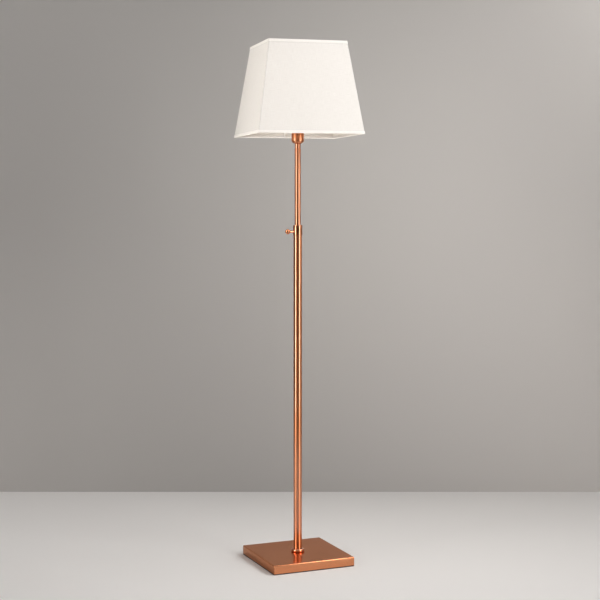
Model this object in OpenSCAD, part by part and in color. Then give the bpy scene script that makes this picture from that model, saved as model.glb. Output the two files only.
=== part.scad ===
// Telescopic floor lamp: a square weighted base, an outer tube, and an inner tube that slides and turns
// in it, is held by a ball-headed clamp screw, and carries a lampholder and a square tapered shade.
// Millimetres. The origin is on the floor under the pole's axis, +Z is up and the base's sides lie along
// X and Y. The clamp screw points along -X. The mains cord would enter at the rear, +Y.

/* [Base] */
// Side of the square base cover
base_w = 280; // [240:1:360]
// Height of the base cover
cover_h = 27.5; // [26:0.5:36]
// Sheet thickness of the base cover
cover_t = 1.5; // [1.2:0.1:2]
// Rounding of the cover's upright corners
cover_corner_r = 3; // [1.5:0.5:8]
// Rounding of the cover's top edges
cover_edge_r = 2.5; // [1:0.25:4]
// Rounding of the cover's lower edges
cover_lip_r = 0.7; // [0.3:0.1:1]
// Height of the cover's edge above the floor
base_gap = 3; // [2:0.25:6]
// Thickness of the cast ballast plate
ballast_t = 15; // [13:0.5:16]
// Space between the ballast and the cover's walls
ballast_gap = 1.5; // [0.5:0.25:4]
// Iron left above the nut's recess
ballast_web = 5; // [4:0.25:6]
// Thickness of the bottom plate
plate_t = 1.2; // [0.8:0.1:2]
// How far the bottom plate lies above the cover's edge
plate_recess = 1; // [0:0.25:1.5]
// Diameter of each rubber foot
foot_d = 24; // [14:1:34]
// Distance from the base's side to a foot's centre
foot_inset = 28; // [22:1:40]
// Distance from the base's side to a bottom plate screw
plate_screw_inset = 52; // [48:1:60]
// Thread diameter of the screws in the base
plate_screw_d = 4; // [3:0.5:5]

/* [Base wiring] */
// Diameter of the hole for the mains cord in the rear grommet
cord_hole_d = 7.5; // [5:0.25:9]
// Height of the cord hole above the cover's edge
cord_hole_z = 11; // [10:0.25:12]
// Wall of the grommet between the cord and the cover
grommet_wall = 2.25; // [1.5:0.25:3]
// Distance from the pole's axis to the terminal block
block_y = 60; // [50:1:80]
// Distance between two poles of the terminal block
pole_pitch = 8; // [7:0.5:10]
// Depth of the terminal block from lead to lead
block_depth = 16; // [14:1:20]
// Height of the terminal block
block_h = 11; // [10:0.5:12]
// Diameter of one insulated core
core_d = 1.8; // [1.2:0.1:2.4]

/* [Pole foot] */
// Outside diameter of the bead round the tube's foot
bead_d = 44; // [38:0.5:56]
// Height of the bead
bead_h = 10; // [6:0.5:12]
// Length of the steel plug in the tube's foot
plug_len = 22; // [16:1:40]
// Thread diameter of the hollow stem
stem_d = 10; // [9:0.5:12]
// Bore of the hollow stem
stem_bore = 7; // [6:0.25:7.5]
// Width across the flats of the stem's nut
nut_flats = 16; // [15:0.5:20]
// Thickness of the stem's nut
nut_h = 5; // [3:0.25:5]
// Diameter of the large flat washer
washer_d = 30; // [22:1:36]
// Thickness of the large flat washer
washer_t = 2; // [1:0.25:2.5]
// Thickness of the toothed lock washer
lock_washer_t = 1.2; // [0.8:0.1:1.5]

/* [Outer tube and collar] */
// Outside diameter of the outer tube
outer_d = 28; // [26:0.5:34]
// Wall of the outer tube
outer_wall = 1; // [0.8:0.1:1.4]
// Length of the outer tube
outer_len = 1037; // [900:1:1200]
// Outside diameter of the collar
collar_d = 30; // [29:0.25:40]
// Height of the collar above the tube
collar_h = 33.5; // [30:0.5:50]
// Length of the collar's spigot inside the tube
spigot_len = 20; // [12:1:30]
// Depth of the groove at the collar's lower edge
collar_groove = 0.6; // [0.2:0.1:1]
// Length of the fixed nylon guide bush
guide_len = 40; // [25:1:60]

/* [Clamp screw] */
// Thread diameter of the clamp screw
clamp_d = 6; // [5:0.5:7]
// Distance from the collar's top down to the clamp screw
clamp_drop = 21.2; // [15:0.1:25]
// Diameter of the ball knob
knob_d = 17; // [14:0.5:24]
// Distance from the pole's axis to the ball's centre
knob_reach = 35; // [33:0.5:50]
// Diameter of the knob's neck
knob_neck_d = 7.6; // [7.5:0.1:10]
// Thickness of the nylon pad at the screw's tip
pad_t = 2; // [1:0.25:3]

/* [Inner tube] */
// Outside diameter of the inner tube
inner_d = 20; // [19:0.25:21]
// Wall of the inner tube
inner_wall = 1; // [0.8:0.1:1.5]
// Length of inner tube that shows above the collar
mast_out = 245.5; // [200:0.5:260]
// How far the inner tube can still be pulled out
travel_up = 160; // [100:1:220]
// Length of the nylon bush at the inner tube's lower end
slide_len = 30; // [20:1:50]
// Height of the stop ring above that bush
stop_h = 4; // [2:0.5:8]
// Thickness of the retaining ring below that bush
clip_t = 1.5; // [1:0.1:2]
// Length of inner tube below the retaining ring
tail_len = 3; // [1.5:0.5:10]

/* [Neck] */
// Diameter of the neck between the tube and the lampholder
neck_d = 18.6; // [16:0.1:22]
// Height of the neck
neck_h = 15.7; // [12:0.1:24]
// Depth of the grooves that part the neck's two beads
neck_groove = 0.7; // [0.2:0.1:1.2]
// Length of the neck's spigot inside the inner tube
neck_spigot = 14; // [8:1:30]
// Thread diameter of the hollow nipple in the neck
nipple_d = 10; // [9:0.25:11]
// Bore of that nipple
nipple_bore = 6.6; // [6:0.1:7]
// Thickness of the lock nut inside the cup
nipple_nut_h = 3; // [2:0.25:4]

/* [Lampholder] */
// Outside diameter of the lampholder's cup
cup_d = 40.5; // [39:0.25:46]
// Height of the cup
cup_h = 26; // [24:0.5:30]
// Rounding of the cup's bottom
cup_round = 11; // [8:0.25:11.5]
// Sheet thickness of the cup
cup_t = 0.8; // [0.6:0.1:1]
// Height of the sleeve above the cup
sleeve_h = 34; // [33:0.5:40]
// Height of the sleeve's plain band above the cup
band_h = 7; // [4:0.5:9]
// Wall of the threaded part of the sleeve
sleeve_wall = 1.4; // [1.2:0.1:1.6]
// Height above the cup's bottom at which the shade's ring sits
seat_h = 47.3; // [46:0.1:50]
// Outside diameter of each shade ring
shade_ring_d = 58; // [50:1:70]
// Height of each shade ring
shade_ring_h = 6; // [4:0.5:7]
// Height of the ceramic insert's base above the cup's bottom
insert_z = 18; // [17:0.5:19]
// Thickness of the ceramic insert's base
insert_base = 14; // [12:0.5:15]
// Thickness of the brass screw shell
shell_t = 0.4; // [0.3:0.05:0.6]

/* [Bulb] */
// Diameter of the bulb's screw cap
cap_d = 26.4; // [25:0.1:27]
// Height of the bulb's screw cap shell
cap_h = 22; // [20:0.5:26]
// Diameter of the bulb's glass
bulb_d = 60; // [45:1:80]
// Length of the bulb from its contact to its top
bulb_len = 107; // [95:1:140]
// Diameter of the glass where it meets the cap
bulb_neck_d = 29; // [27:0.5:32]
// Thickness of the glass
glass_t = 1; // [0.6:0.1:1.5]

/* [Shade] */
// Side of the shade's lower edge
shade_low_w = 344.5; // [280:0.5:400]
// Side of the shade's upper edge
shade_top_w = 254; // [180:0.5:270]
// Height of the shade
shade_h = 291.6; // [220:0.1:340]
// Angle of the shade about the pole against the base
shade_turn = -7.9; // [-45:0.1:45]
// Thickness of the backed fabric panels
panel_t = 0.8; // [0.5:0.1:1.5]
// Width of the folded edge tape
tape_w = 9; // [7:0.5:14]
// Thickness of the edge tape
tape_t = 0.5; // [0.3:0.1:0.8]
// Diameter of the square wire frames
wire_d = 3; // [2:0.25:4]
// Bend radius of the wire frames' corners
wire_bend = 5; // [3:0.5:8]
// Diameter of the spider's arms
arm_d = 4; // [3:0.25:5]
// Height of the spider's ring above the shade's lower edge
spider_rise = 22; // [16:0.5:30]
// Thickness of the spider's ring
spider_t = 1.5; // [1:0.1:2.5]

/* [Lead inside the pole] */
// Diameter of the sheathed lead
lead_d = 4.5; // [3.5:0.1:5]
// Height at which the lead's curled stretch begins
coil_foot = 260; // [200:1:300]
// Radius of the curls, measured to the lead's middle
coil_r = 8; // [6:0.25:9]
// Number of curls
coil_turns = 16; // [10:1:20]
// Radius of the lead's bend under the stem
lead_bend = 6; // [5.5:0.25:8]

/* [Hidden] */
$fn = 64;

copper = "#b0673f";
copper_dark = "#8a5236";
steel = "#a9adb0";
zinc = "#c3c6c4";
brass = "#c9a553";
iron = "#4a4a4c";
black = "#1d1d1f";
nylon = "#e9e6dc";
linen = "#f1ece5";
white = "#f4f2ee";
grey_sheath = "#d8d6d0";

// Clearances: fixed fits, running fits, pieces that only pass each other, and how far a cut runs past
fit = 0.05;
run = 0.05;
free = 0.3;
cut = 1;

// Heights in the base
cover_top = base_gap + cover_h;
plate_z = base_gap + plate_recess;
plate_top = plate_z + plate_t;
ballast_top = cover_top - cover_t;
ballast_low = ballast_top - ballast_t;
ballast_w = base_w - 2 * cover_t - 2 * ballast_gap;
recess_roof = ballast_top - ballast_web;
washer_z = recess_roof - washer_t;
lock_washer_z = washer_z - lock_washer_t;
nut_z = lock_washer_z - nut_h;
recess_play = 4;
recess_d = washer_d + 2 * recess_play;
boss_d = 4 * plate_screw_d;
screw_head_h = 0.5 * plate_screw_d;
screw_head_d = 2 * plate_screw_d;

// The lead's run under the ballast, and the terminal block on it
lead_under = 2;
run_z = plate_top + lead_d / 2 + lead_under;
stem_end = run_z + lead_bend;
pole_play = 0.8;
pole_bore = core_d + 2 * pole_play;
block_floor = 0.8;
block_low = run_z - pole_bore / 2 - block_floor;
block_top = block_low + block_h;
block_w = 3 * pole_pitch + 2;
block_gap = 2;
block_mid_y = block_y + block_depth / 2;
block_rear = block_y + block_depth;
block_screw_x = pole_pitch / 2;
block_screw_grip = 4;
sheath_strip = 8;
sheath_end = block_y - sheath_strip;
pole_screw_d = 3.2;
core_grip = 4;
earth_x = pole_pitch + 18;
earth_y = block_rear + 10;
tag_t = 0.8;
tag_tail = 10;

// The grommet in the rear wall
grommet_z = base_gap + cord_hole_z;
grommet_r = cord_hole_d / 2 + grommet_wall;
grommet_lip = 1.2;
grommet_flange = 2;
channel_roof = grommet_z + grommet_r + grommet_lip + free;
channel_w = 2 * (grommet_r + grommet_lip + free);

// The outer tube and what it holds
outer_bore = outer_d - 2 * outer_wall;
tube_top = cover_top + outer_len;
collar_top = tube_top + collar_h;
guide_top = tube_top - spigot_len;
guide_low = guide_top - guide_len;
collar_bore = inner_d + 2 * free;
groove_h = 1.2;

// The clamp screw: its tip presses a pad on the inner tube
clamp_z = collar_top - clamp_drop;
pad_x = inner_d / 2 + run;
screw_x = pad_x + pad_t;
knob_gap = 1;
neck_start = collar_d / 2 + knob_gap;

// The inner tube's lower end
stop_gap = 0.5;
end_play = 0.2;
stop_top = guide_low - travel_up - stop_gap;
stop_low = stop_top - stop_h;
slide_top = stop_low - end_play;
slide_low = slide_top - slide_len;
clip_top = slide_low - end_play;
clip_low = clip_top - clip_t;
inner_low = clip_low - tail_len;
inner_top = collar_top + mast_out;
inner_bore = inner_d - 2 * inner_wall;
joint_drop = 2;
lead_joint = inner_low - joint_drop;

// The lampholder stands on the neck
holder_z = inner_top + neck_h;
nipple_up = 8;
nipple_down = 16;
sheath_top = holder_z + nipple_up + 1;
sleeve_top = cup_h + sleeve_h;
thread_inset = 0.45;
sleeve_r = cup_d / 2 - thread_inset;
sleeve_bore_r = sleeve_r - sleeve_wall;
insert_r = sleeve_bore_r - 2 * fit;
insert_top = insert_z + insert_base;
shell_r = cap_d / 2 + free;
shell_h = 24;
contact_rise = 3;
contact_z = insert_top + contact_rise;
terminal_x = 9;
terminal_r = 2;

// The bulb, measured from its contact
bulb_z = holder_z + contact_z;
tip_h = 1.5;
vitrite_h = 3;
cap_low = tip_h + vitrite_h;
cap_top = cap_low + cap_h;
cap_wall = 0.5;
bulb_r = bulb_d / 2;
bulb_mid = bulb_len - bulb_r;

// The shade hangs on its spider's ring
seat_z = holder_z + seat_h;
shade_z = seat_z - spider_rise;
taper = (shade_low_w - shade_top_w) / 2 / shade_h;
wire_low_h = tape_t + fit + wire_d / 2;
wire_top_h = shade_h - wire_low_h;
arm_h = spider_rise + spider_t / 2;
spider_bore = 2 * sleeve_r + 1;
spider_d = shade_ring_d - 4;
arm_slot = arm_d + 2;

// ---- shared shapes ----

// A tube or ring that stands on z = 0
module sleeve_of(outside, bore, length) {
    difference() {
        cylinder(d = outside, h = length);
        translate([0, 0, -cut]) cylinder(d = bore, h = length + 2 * cut);
    }
}

// A flat rectangle with round corners, about the origin
module round_rect(w, d, r) {
    square([w - 2 * r, d], center = true);
    square([w, d - 2 * r], center = true);
    for (x = [-1, 1], y = [-1, 1])
        translate([x * (w / 2 - r), y * (d / 2 - r)]) circle(r);
}

// The outline of the cover seen from one side, with soft upper and lower edges
module side_outline(w, h, top_r, low_r) {
    translate([-w / 2 + top_r, 0]) square([w - 2 * top_r, h]);
    translate([-w / 2, low_r]) square([w, h - low_r - top_r]);
    for (x = [-1, 1]) {
        translate([x * (w / 2 - top_r), h - top_r]) circle(top_r);
        translate([x * (w / 2 - low_r), low_r]) circle(low_r);
        translate([x * (w / 2 - (top_r + low_r) / 2) - (top_r - low_r) / 2, 0])
            square([top_r - low_r, h / 2]);
    }
}

// Four copies at the corners of a square
module at_corners(reach) {
    for (x = [-1, 1], y = [-1, 1])
        translate([x * reach, y * reach, 0]) children();
}

// A pan-head screw that points up, its head below z = 0
module pan_screw(d, length) {
    translate([0, 0, -screw_head_h]) cylinder(d = screw_head_d * d / plate_screw_d, h = screw_head_h);
    cylinder(d = d - 2 * fit, h = length);
}

// A wire from one point to another
module rod(from, to, d) {
    run_v = to - from;
    flat = norm([run_v[0], run_v[1]]);
    translate(from)
        rotate([0, atan2(flat, run_v[2]), atan2(run_v[1], run_v[0])])
            cylinder(d = d, h = norm(run_v));
}

// One side of a square ring: a profile of [distance, height] points, mitred at both ends
module mitred_side(profile) {
    far = max([for (p = profile) p[0]]) + cut;
    low = min([for (p = profile) p[1]]) - cut;
    high = max([for (p = profile) p[1]]) + cut;
    intersection() {
        rotate([90, 0, 0]) linear_extrude(2 * far, center = true) polygon(profile);
        translate([0, 0, low]) linear_extrude(high - low) polygon([[0, 0], [far, -far], [far, far]]);
    }
}

function unit(v) = v / norm(v);
function tangent(path, i) = unit(path[min(i + 1, len(path) - 1)] - path[max(i - 1, 0)]);
function square_to(v, t) = unit(v - (v * t) * t);

// A round lead along a path: each ring stands square to the path and is carried on without a twist
module lead_along(path, d, sides) {
    last = len(path) - 1;
    first_t = tangent(path, 0);
    first_n = square_to(abs(first_t[0]) < 0.9 ? [1, 0, 0] : [0, 1, 0], first_t);
    normals = [for (i = 0, n = first_n; i <= last;
        i = i + 1, n = square_to(n, tangent(path, min(i, last)))) n];
    rings = [for (i = [0 : last], k = [0 : sides - 1])
        let (t = tangent(path, i), n = normals[i], a = 360 * k / sides)
            path[i] + d / 2 * (cos(a) * n + sin(a) * cross(t, n))];
    caps = [[for (k = [sides - 1 : -1 : 0]) k], [for (k = [0 : sides - 1]) last * sides + k]];
    skins = [for (i = [0 : last - 1], k = [0 : sides - 1])
        let (a = i * sides + k, b = i * sides + (k + 1) % sides)
            each [[a, b, b + sides], [a, b + sides, a + sides]]];
    polyhedron(rings, concat(caps, skins), convexity = 10);
}

// ---- base ----

module base_cover() {
    over = 2 * cut;
    color(copper) difference() {
        translate([0, 0, base_gap]) intersection() {
            linear_extrude(cover_h) round_rect(base_w, base_w, cover_corner_r);
            rotate([90, 0, 0]) linear_extrude(base_w + over, center = true)
                side_outline(base_w, cover_h, cover_edge_r, cover_lip_r);
            rotate([90, 0, 90]) linear_extrude(base_w + over, center = true)
                side_outline(base_w, cover_h, cover_edge_r, cover_lip_r);
        }
        inside = base_w - 2 * cover_t;
        translate([-inside / 2, -inside / 2, base_gap - cut]) cube([inside, inside, cover_h - cover_t + cut]);
        cylinder(d = stem_d + 2 * free, h = cover_top + cut);
        translate([0, base_w / 2 + cut, grommet_z]) rotate([90, 0, 0])
            cylinder(r = grommet_r, h = cover_t + 2 * cut);
    }
}

module ballast_plate() {
    inside = ballast_w / 2;
    screw_grip = 2 * plate_screw_d;
    color(iron) difference() {
        union() {
            translate([-inside, -inside, ballast_low]) cube([ballast_w, ballast_w, ballast_t]);
            at_corners(base_w / 2 - plate_screw_inset)
                translate([0, 0, plate_top]) cylinder(d = boss_d, h = ballast_low + cut - plate_top);
        }
        translate([0, 0, ballast_low - cut]) cylinder(d = stem_d + 2 * free, h = ballast_t + 2 * cut);
        translate([0, 0, ballast_low - cut]) cylinder(d = recess_d, h = recess_roof - ballast_low + cut);
        translate([-block_w / 2 - block_gap, block_y - block_gap, ballast_low - cut])
            cube([block_w + 2 * block_gap, block_depth + 2 * block_gap, block_top - ballast_low + cut]);
        translate([-channel_w / 2, block_rear, ballast_low - cut])
            cube([channel_w, inside + cut - block_rear, channel_roof - ballast_low + cut]);
        at_corners(base_w / 2 - plate_screw_inset) translate([0, 0, plate_top - cut])
            cylinder(d = plate_screw_d, h = screw_grip + plate_screw_d + cut);
        translate([block_screw_x, block_mid_y, block_top - cut])
            cylinder(d = pole_screw_d, h = block_screw_grip + 2 * cut);
        translate([earth_x, earth_y, ballast_low - cut])
            cylinder(d = plate_screw_d, h = screw_grip + cut);
    }
}

module bottom_plate() {
    side = base_w - 2 * cover_t - 2 * free;
    color(black) difference() {
        translate([0, 0, plate_z]) linear_extrude(plate_t) square(side, center = true);
        at_corners(base_w / 2 - plate_screw_inset)
            translate([0, 0, plate_z - cut]) cylinder(d = plate_screw_d + free, h = plate_t + 2 * cut);
    }
}

module base_feet() {
    soft = 0.8;
    color(black) at_corners(base_w / 2 - foot_inset) {
        cylinder(d1 = foot_d - 2 * soft, d2 = foot_d, h = soft);
        translate([0, 0, soft]) cylinder(d = foot_d, h = plate_z - soft);
    }
}

module bottom_plate_screws() {
    color(zinc) at_corners(base_w / 2 - plate_screw_inset)
        translate([0, 0, plate_z]) pan_screw(plate_screw_d, plate_t + 2 * plate_screw_d);
}

// A rubber grommet whose groove holds the edge of the hole in the rear wall
module cord_grommet() {
    translate([0, base_w / 2, grommet_z]) rotate([-90, 0, 0]) color(black) difference() {
        union() {
            cylinder(r = grommet_r + grommet_lip, h = grommet_flange);
            translate([0, 0, -cover_t - grommet_flange / 2])
                cylinder(r = grommet_r - fit, h = cover_t + grommet_flange);
            translate([0, 0, -cover_t - grommet_flange])
                cylinder(r = grommet_r + grommet_lip, h = grommet_flange);
        }
        translate([0, 0, -cover_t - grommet_flange - cut])
            cylinder(d = cord_hole_d, h = cover_t + 2 * grommet_flange + 2 * cut);
    }
}

module terminal_block() {
    color(white) difference() {
        translate([-block_w / 2, block_y, block_low]) cube([block_w, block_depth, block_h]);
        for (pole = [-1 : 1]) {
            translate([pole * pole_pitch, block_y - cut, run_z]) rotate([-90, 0, 0])
                cylinder(d = pole_bore, h = block_depth + 2 * cut);
            for (end = [0.25, 0.75])
                translate([pole * pole_pitch, block_y + end * block_depth, block_low - cut])
                    cylinder(d = pole_screw_d, h = run_z - block_low + cut);
        }
        translate([block_screw_x, block_mid_y, block_low - cut])
            cylinder(d = pole_screw_d - 2 * fit, h = block_h + 2 * cut);
    }
}

module terminal_screws() {
    color(brass) for (pole = [-1 : 1], end = [0.25, 0.75])
        translate([pole * pole_pitch, block_y + end * block_depth, block_low])
            cylinder(d = pole_screw_d - 2 * fit, h = run_z - core_d / 2 - fit - block_low);
}

module block_screw() {
    thread = pole_screw_d - 4 * fit;
    head_h = 1;
    color(zinc) translate([block_screw_x, block_mid_y, block_low]) {
        cylinder(d = thread, h = block_h + block_screw_grip);
        translate([0, 0, -head_h]) cylinder(d = 2 * thread, h = head_h);
    }
}

module earth_tag() {
    tail_w = 3;
    color(brass) translate([earth_x, earth_y, ballast_low - tag_t]) difference() {
        union() {
            cylinder(d = 2.2 * plate_screw_d, h = tag_t);
            translate([-tag_tail, -tail_w / 2, 0]) cube([tag_tail, tail_w, tag_t]);
        }
        translate([0, 0, -cut]) cylinder(d = plate_screw_d + free, h = tag_t + 2 * cut);
    }
}

module earth_screw() {
    color(zinc) translate([earth_x, earth_y, ballast_low - tag_t])
        pan_screw(plate_screw_d, 1.5 * plate_screw_d);
}

// The earth wire leaves the block's third pole at the rear and is crimped under the tag's tail
module earth_wire() {
    tag_z = ballast_low - tag_t - core_d / 2;
    path = [
        [pole_pitch, block_rear - core_grip, run_z],
        [pole_pitch, block_rear + 2, run_z],
        [pole_pitch + 1, block_rear + 6, run_z + 0.3 * (tag_z - run_z)],
        [pole_pitch + 4, earth_y - 1, run_z + 0.7 * (tag_z - run_z)],
        [earth_x - tag_tail, earth_y, tag_z],
        [earth_x - tag_tail / 2, earth_y, tag_z]];
    color("#7d9a35") lead_along(path, core_d, 8);
}

// The three cores of the lead, from its sheath's end into the block's poles
module base_cores() {
    names = ["#3b6ea5", "#6b4a2f", "#7d9a35"];
    for (pole = [-1 : 1]) {
        side = pole * core_d;
        reach = block_y - sheath_end;
        color(names[pole + 1]) lead_along([
            [side, sheath_end, run_z],
            [side, sheath_end + 0.15 * reach, run_z],
            [(side + pole * pole_pitch) / 2, sheath_end + 0.45 * reach, run_z],
            [pole * pole_pitch, sheath_end + 0.8 * reach, run_z],
            [pole * pole_pitch, block_y + core_grip, run_z]], core_d - fit, 8);
    }
}

// ---- pole foot ----

module foot_bead() {
    r = bead_h / 2;
    color(copper) translate([0, 0, cover_top]) rotate_extrude() {
        translate([outer_d / 2 + fit, 0]) square([bead_d / 2 - r - outer_d / 2 - fit, bead_h]);
        translate([bead_d / 2 - r, r]) intersection() {
            circle(r);
            translate([0, -r]) square([r, bead_h]);
        }
    }
}

module foot_plug() {
    color(steel) translate([0, 0, cover_top]) sleeve_of(outer_bore - 2 * fit, stem_d, plug_len);
}

module stem() {
    stem_short = 3;
    color(zinc) translate([0, 0, stem_end])
        sleeve_of(stem_d - 2 * fit, stem_bore, cover_top + plug_len - stem_short - stem_end);
}

module stem_washer() {
    color(zinc) translate([0, 0, washer_z]) sleeve_of(washer_d, stem_d + 2 * free, washer_t);
}

module stem_lock_washer() {
    outside = nut_flats + 2;
    teeth = 10;
    notch = 2;
    color(steel) translate([0, 0, lock_washer_z]) difference() {
        sleeve_of(outside, stem_d + free, lock_washer_t);
        for (i = [0 : teeth - 1]) rotate([0, 0, i * 360 / teeth])
            translate([(outside - notch) / 2, -notch / 2, -cut])
                cube([notch, notch, lock_washer_t + 2 * cut]);
    }
}

module stem_nut() {
    color(zinc) translate([0, 0, nut_z]) difference() {
        cylinder(d = nut_flats / cos(30), h = nut_h, $fn = 6);
        translate([0, 0, -cut]) cylinder(d = stem_d, h = nut_h + 2 * cut);
    }
}

// ---- outer tube, collar and clamp ----

module outer_tube() {
    color(copper) translate([0, 0, cover_top]) sleeve_of(outer_d, outer_bore, outer_len);
}

// The collar is turned from bar: a head, a groove where it meets the tube, and a spigot in the tube
module collar() {
    chamfer = 0.8;
    r = collar_d / 2;
    spigot_r = outer_bore / 2 - fit;
    bore_r = collar_bore / 2;
    color(copper) difference() {
        translate([0, 0, tube_top]) rotate_extrude() polygon([
            [bore_r, -spigot_len], [spigot_r, -spigot_len], [spigot_r, 0],
            [r - collar_groove, 0], [r - collar_groove, groove_h], [r, groove_h + collar_groove],
            [r, collar_h - chamfer], [r - chamfer, collar_h], [bore_r + chamfer, collar_h],
            [bore_r, collar_h - chamfer]]);
        translate([0, 0, clamp_z]) rotate([0, -90, 0]) cylinder(d = clamp_d, h = collar_d);
    }
}

module guide_bush() {
    slit = 1.5;
    color(nylon) translate([0, 0, guide_low]) difference() {
        sleeve_of(outer_bore - 2 * fit, inner_d + 2 * run, guide_len);
        translate([0, -slit / 2, -cut]) cube([outer_d, slit, guide_len + 2 * cut]);
    }
}

module clamp_pad() {
    color(nylon) translate([-pad_x, 0, clamp_z]) rotate([0, -90, 0])
        cylinder(d = clamp_d - 2 * run, h = pad_t);
}

module clamp_screw() {
    color(zinc) translate([-screw_x, 0, clamp_z]) rotate([0, -90, 0])
        cylinder(d = clamp_d - 2 * run, h = knob_reach - screw_x);
}

module clamp_knob() {
    flare = 0.8;
    neck_end = knob_reach - knob_d / 2;
    color(copper) translate([0, 0, clamp_z]) rotate([0, -90, 0]) difference() {
        union() {
            translate([0, 0, knob_reach]) sphere(d = knob_d);
            translate([0, 0, neck_start]) cylinder(d = knob_neck_d, h = knob_reach - neck_start);
            translate([0, 0, neck_end - 0.5]) cylinder(d = knob_neck_d + 2 * flare, h = 1.5);
        }
        translate([0, 0, neck_start - cut]) cylinder(d = clamp_d, h = knob_reach - neck_start + cut);
    }
}

// ---- inner tube ----

module slide_bush() {
    color(nylon) translate([0, 0, slide_low])
        sleeve_of(outer_bore - 2 * run, inner_d + 2 * run, slide_len);
}

module inner_tube() {
    color(copper) translate([0, 0, inner_low]) sleeve_of(inner_d, inner_bore, inner_top - inner_low);
}

module stop_ring() {
    color(brass) translate([0, 0, stop_low]) sleeve_of(outer_bore - 4 * free, inner_d + 2 * fit, stop_h);
}

module retaining_ring() {
    opening = 6;
    color(steel) translate([0, 0, clip_low]) difference() {
        sleeve_of(outer_bore - 5 * free, inner_d + 2 * fit, clip_t);
        translate([0, -opening / 2, -cut]) cube([outer_d, opening, clip_t + 2 * cut]);
    }
}

// The neck is turned with two beads, a spigot in the inner tube and a threaded bore
module neck() {
    r = neck_d / 2;
    low_r = r - neck_groove;
    line = 1;
    mid = neck_h / 2;
    spigot_r = inner_bore / 2 - fit;
    color(copper) translate([0, 0, inner_top]) rotate_extrude() polygon([
        [nipple_d / 2, -neck_spigot], [spigot_r, -neck_spigot], [spigot_r, 0],
        [low_r, 0], [low_r, line], [r, line + neck_groove],
        [r, mid - line / 2 - neck_groove], [low_r, mid - line / 2],
        [low_r, mid + line / 2], [r, mid + line / 2 + neck_groove],
        [r, neck_h - neck_groove], [low_r, neck_h], [nipple_d / 2, neck_h]]);
}

module holder_nipple() {
    color(zinc) translate([0, 0, holder_z - nipple_down])
        sleeve_of(nipple_d - 2 * fit, nipple_bore, nipple_down + nipple_up);
}

module nipple_nut() {
    flats = nipple_d + 4;
    color(brass) translate([0, 0, holder_z + cup_t]) difference() {
        cylinder(d = flats / cos(30), h = nipple_nut_h, $fn = 6);
        translate([0, 0, -cut]) cylinder(d = nipple_d, h = nipple_nut_h + 2 * cut);
    }
}

// ---- lampholder ----

// A cup's outline from its middle out, with a round lower corner
module cup_outline(r, h, round_r) {
    translate([0, round_r]) square([r, h - round_r]);
    square([r - round_r, h]);
    translate([r - round_r, round_r]) intersection() {
        circle(round_r);
        translate([0, -round_r]) square([round_r, round_r]);
    }
}

module holder_cup() {
    color(copper) translate([0, 0, holder_z]) rotate_extrude() difference() {
        cup_outline(cup_d / 2, cup_h, cup_round);
        translate([0, cup_t]) cup_outline(cup_d / 2 - cup_t, cup_h, cup_round - cup_t);
        translate([0, -cut]) square([nipple_d / 2 + fit, 2 * cut + cup_t]);
    }
}

// The sleeve screws into the cup and carries the shade rings on its thread
module holder_sleeve() {
    tongue = 6;
    band_r = cup_d / 2 - 0.15;
    color(copper_dark) translate([0, 0, holder_z]) rotate_extrude() polygon([
        [sleeve_bore_r, cup_h - tongue], [cup_d / 2 - cup_t - fit, cup_h - tongue],
        [cup_d / 2 - cup_t - fit, cup_h], [band_r, cup_h], [band_r, cup_h + band_h],
        [sleeve_r, cup_h + band_h], [sleeve_r, sleeve_top], [sleeve_bore_r, sleeve_top]]);
}

module ceramic_insert() {
    wall_top = insert_top + shell_h + 1;
    color(white) difference() {
        translate([0, 0, holder_z + insert_z]) cylinder(r = insert_r, h = wall_top - insert_z);
        translate([0, 0, holder_z + insert_top]) cylinder(r = shell_r + shell_t + fit, h = wall_top);
        for (side = [-1, 1]) translate([side * terminal_x, 0, holder_z + insert_z - cut])
            cylinder(r = terminal_r, h = 8 + cut);
    }
}

module holder_screws() {
    color(brass) for (side = [-1, 1]) translate([side * terminal_x, 0, holder_z + insert_z])
        cylinder(r = terminal_r - fit, h = 7);
}

module holder_cores() {
    names = ["#3b6ea5", "#6b4a2f"];
    end_z = holder_z + insert_z;
    rise = end_z - sheath_top;
    for (side = [-1, 1]) color(names[(side + 1) / 2]) lead_along([
        [side * 0.55 * core_d, 0, sheath_top],
        [side * 0.55 * core_d, 0, sheath_top + 0.15 * rise],
        [side * terminal_x * 0.6, 0, sheath_top + 0.45 * rise],
        [side * terminal_x * 0.95, 0, sheath_top + 0.75 * rise],
        [side * terminal_x, 0, end_z - 0.02 * rise],
        [side * terminal_x, 0, end_z]], core_d - fit, 8);
}

module screw_shell() {
    lip = 4;
    color(brass) translate([0, 0, holder_z + insert_top]) rotate_extrude() polygon([
        [shell_r - lip, 0], [shell_r + shell_t, 0], [shell_r + shell_t, shell_h],
        [shell_r, shell_h], [shell_r, shell_t], [shell_r - lip, shell_t]]);
}

// A bent bronze strip that presses up on the bulb's contact
module centre_contact() {
    strip_w = 5;
    strip_t = 0.5;
    half = 6;
    color(brass) translate([0, strip_w / 2, holder_z + insert_top]) rotate([90, 0, 0])
        linear_extrude(strip_w) polygon([
            [-half, 0], [half - 3, 0], [half - 3, strip_t], [-half + strip_t, strip_t],
            [-half + 3, contact_rise - strip_t], [3, contact_rise - strip_t], [3, contact_rise],
            [-half + 2.6, contact_rise], [-half, strip_t]]);
}

// A ring nut with a scalloped rim
module shade_ring(z) {
    scallops = 24;
    color(copper_dark) translate([0, 0, z]) difference() {
        sleeve_of(shade_ring_d, 2 * (sleeve_r + fit), shade_ring_h);
        for (i = [0 : scallops - 1]) rotate([0, 0, i * 360 / scallops])
            translate([shade_ring_d / 2 + 0.6, 0, -cut]) cylinder(d = 3, h = shade_ring_h + 2 * cut);
    }
}

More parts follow.
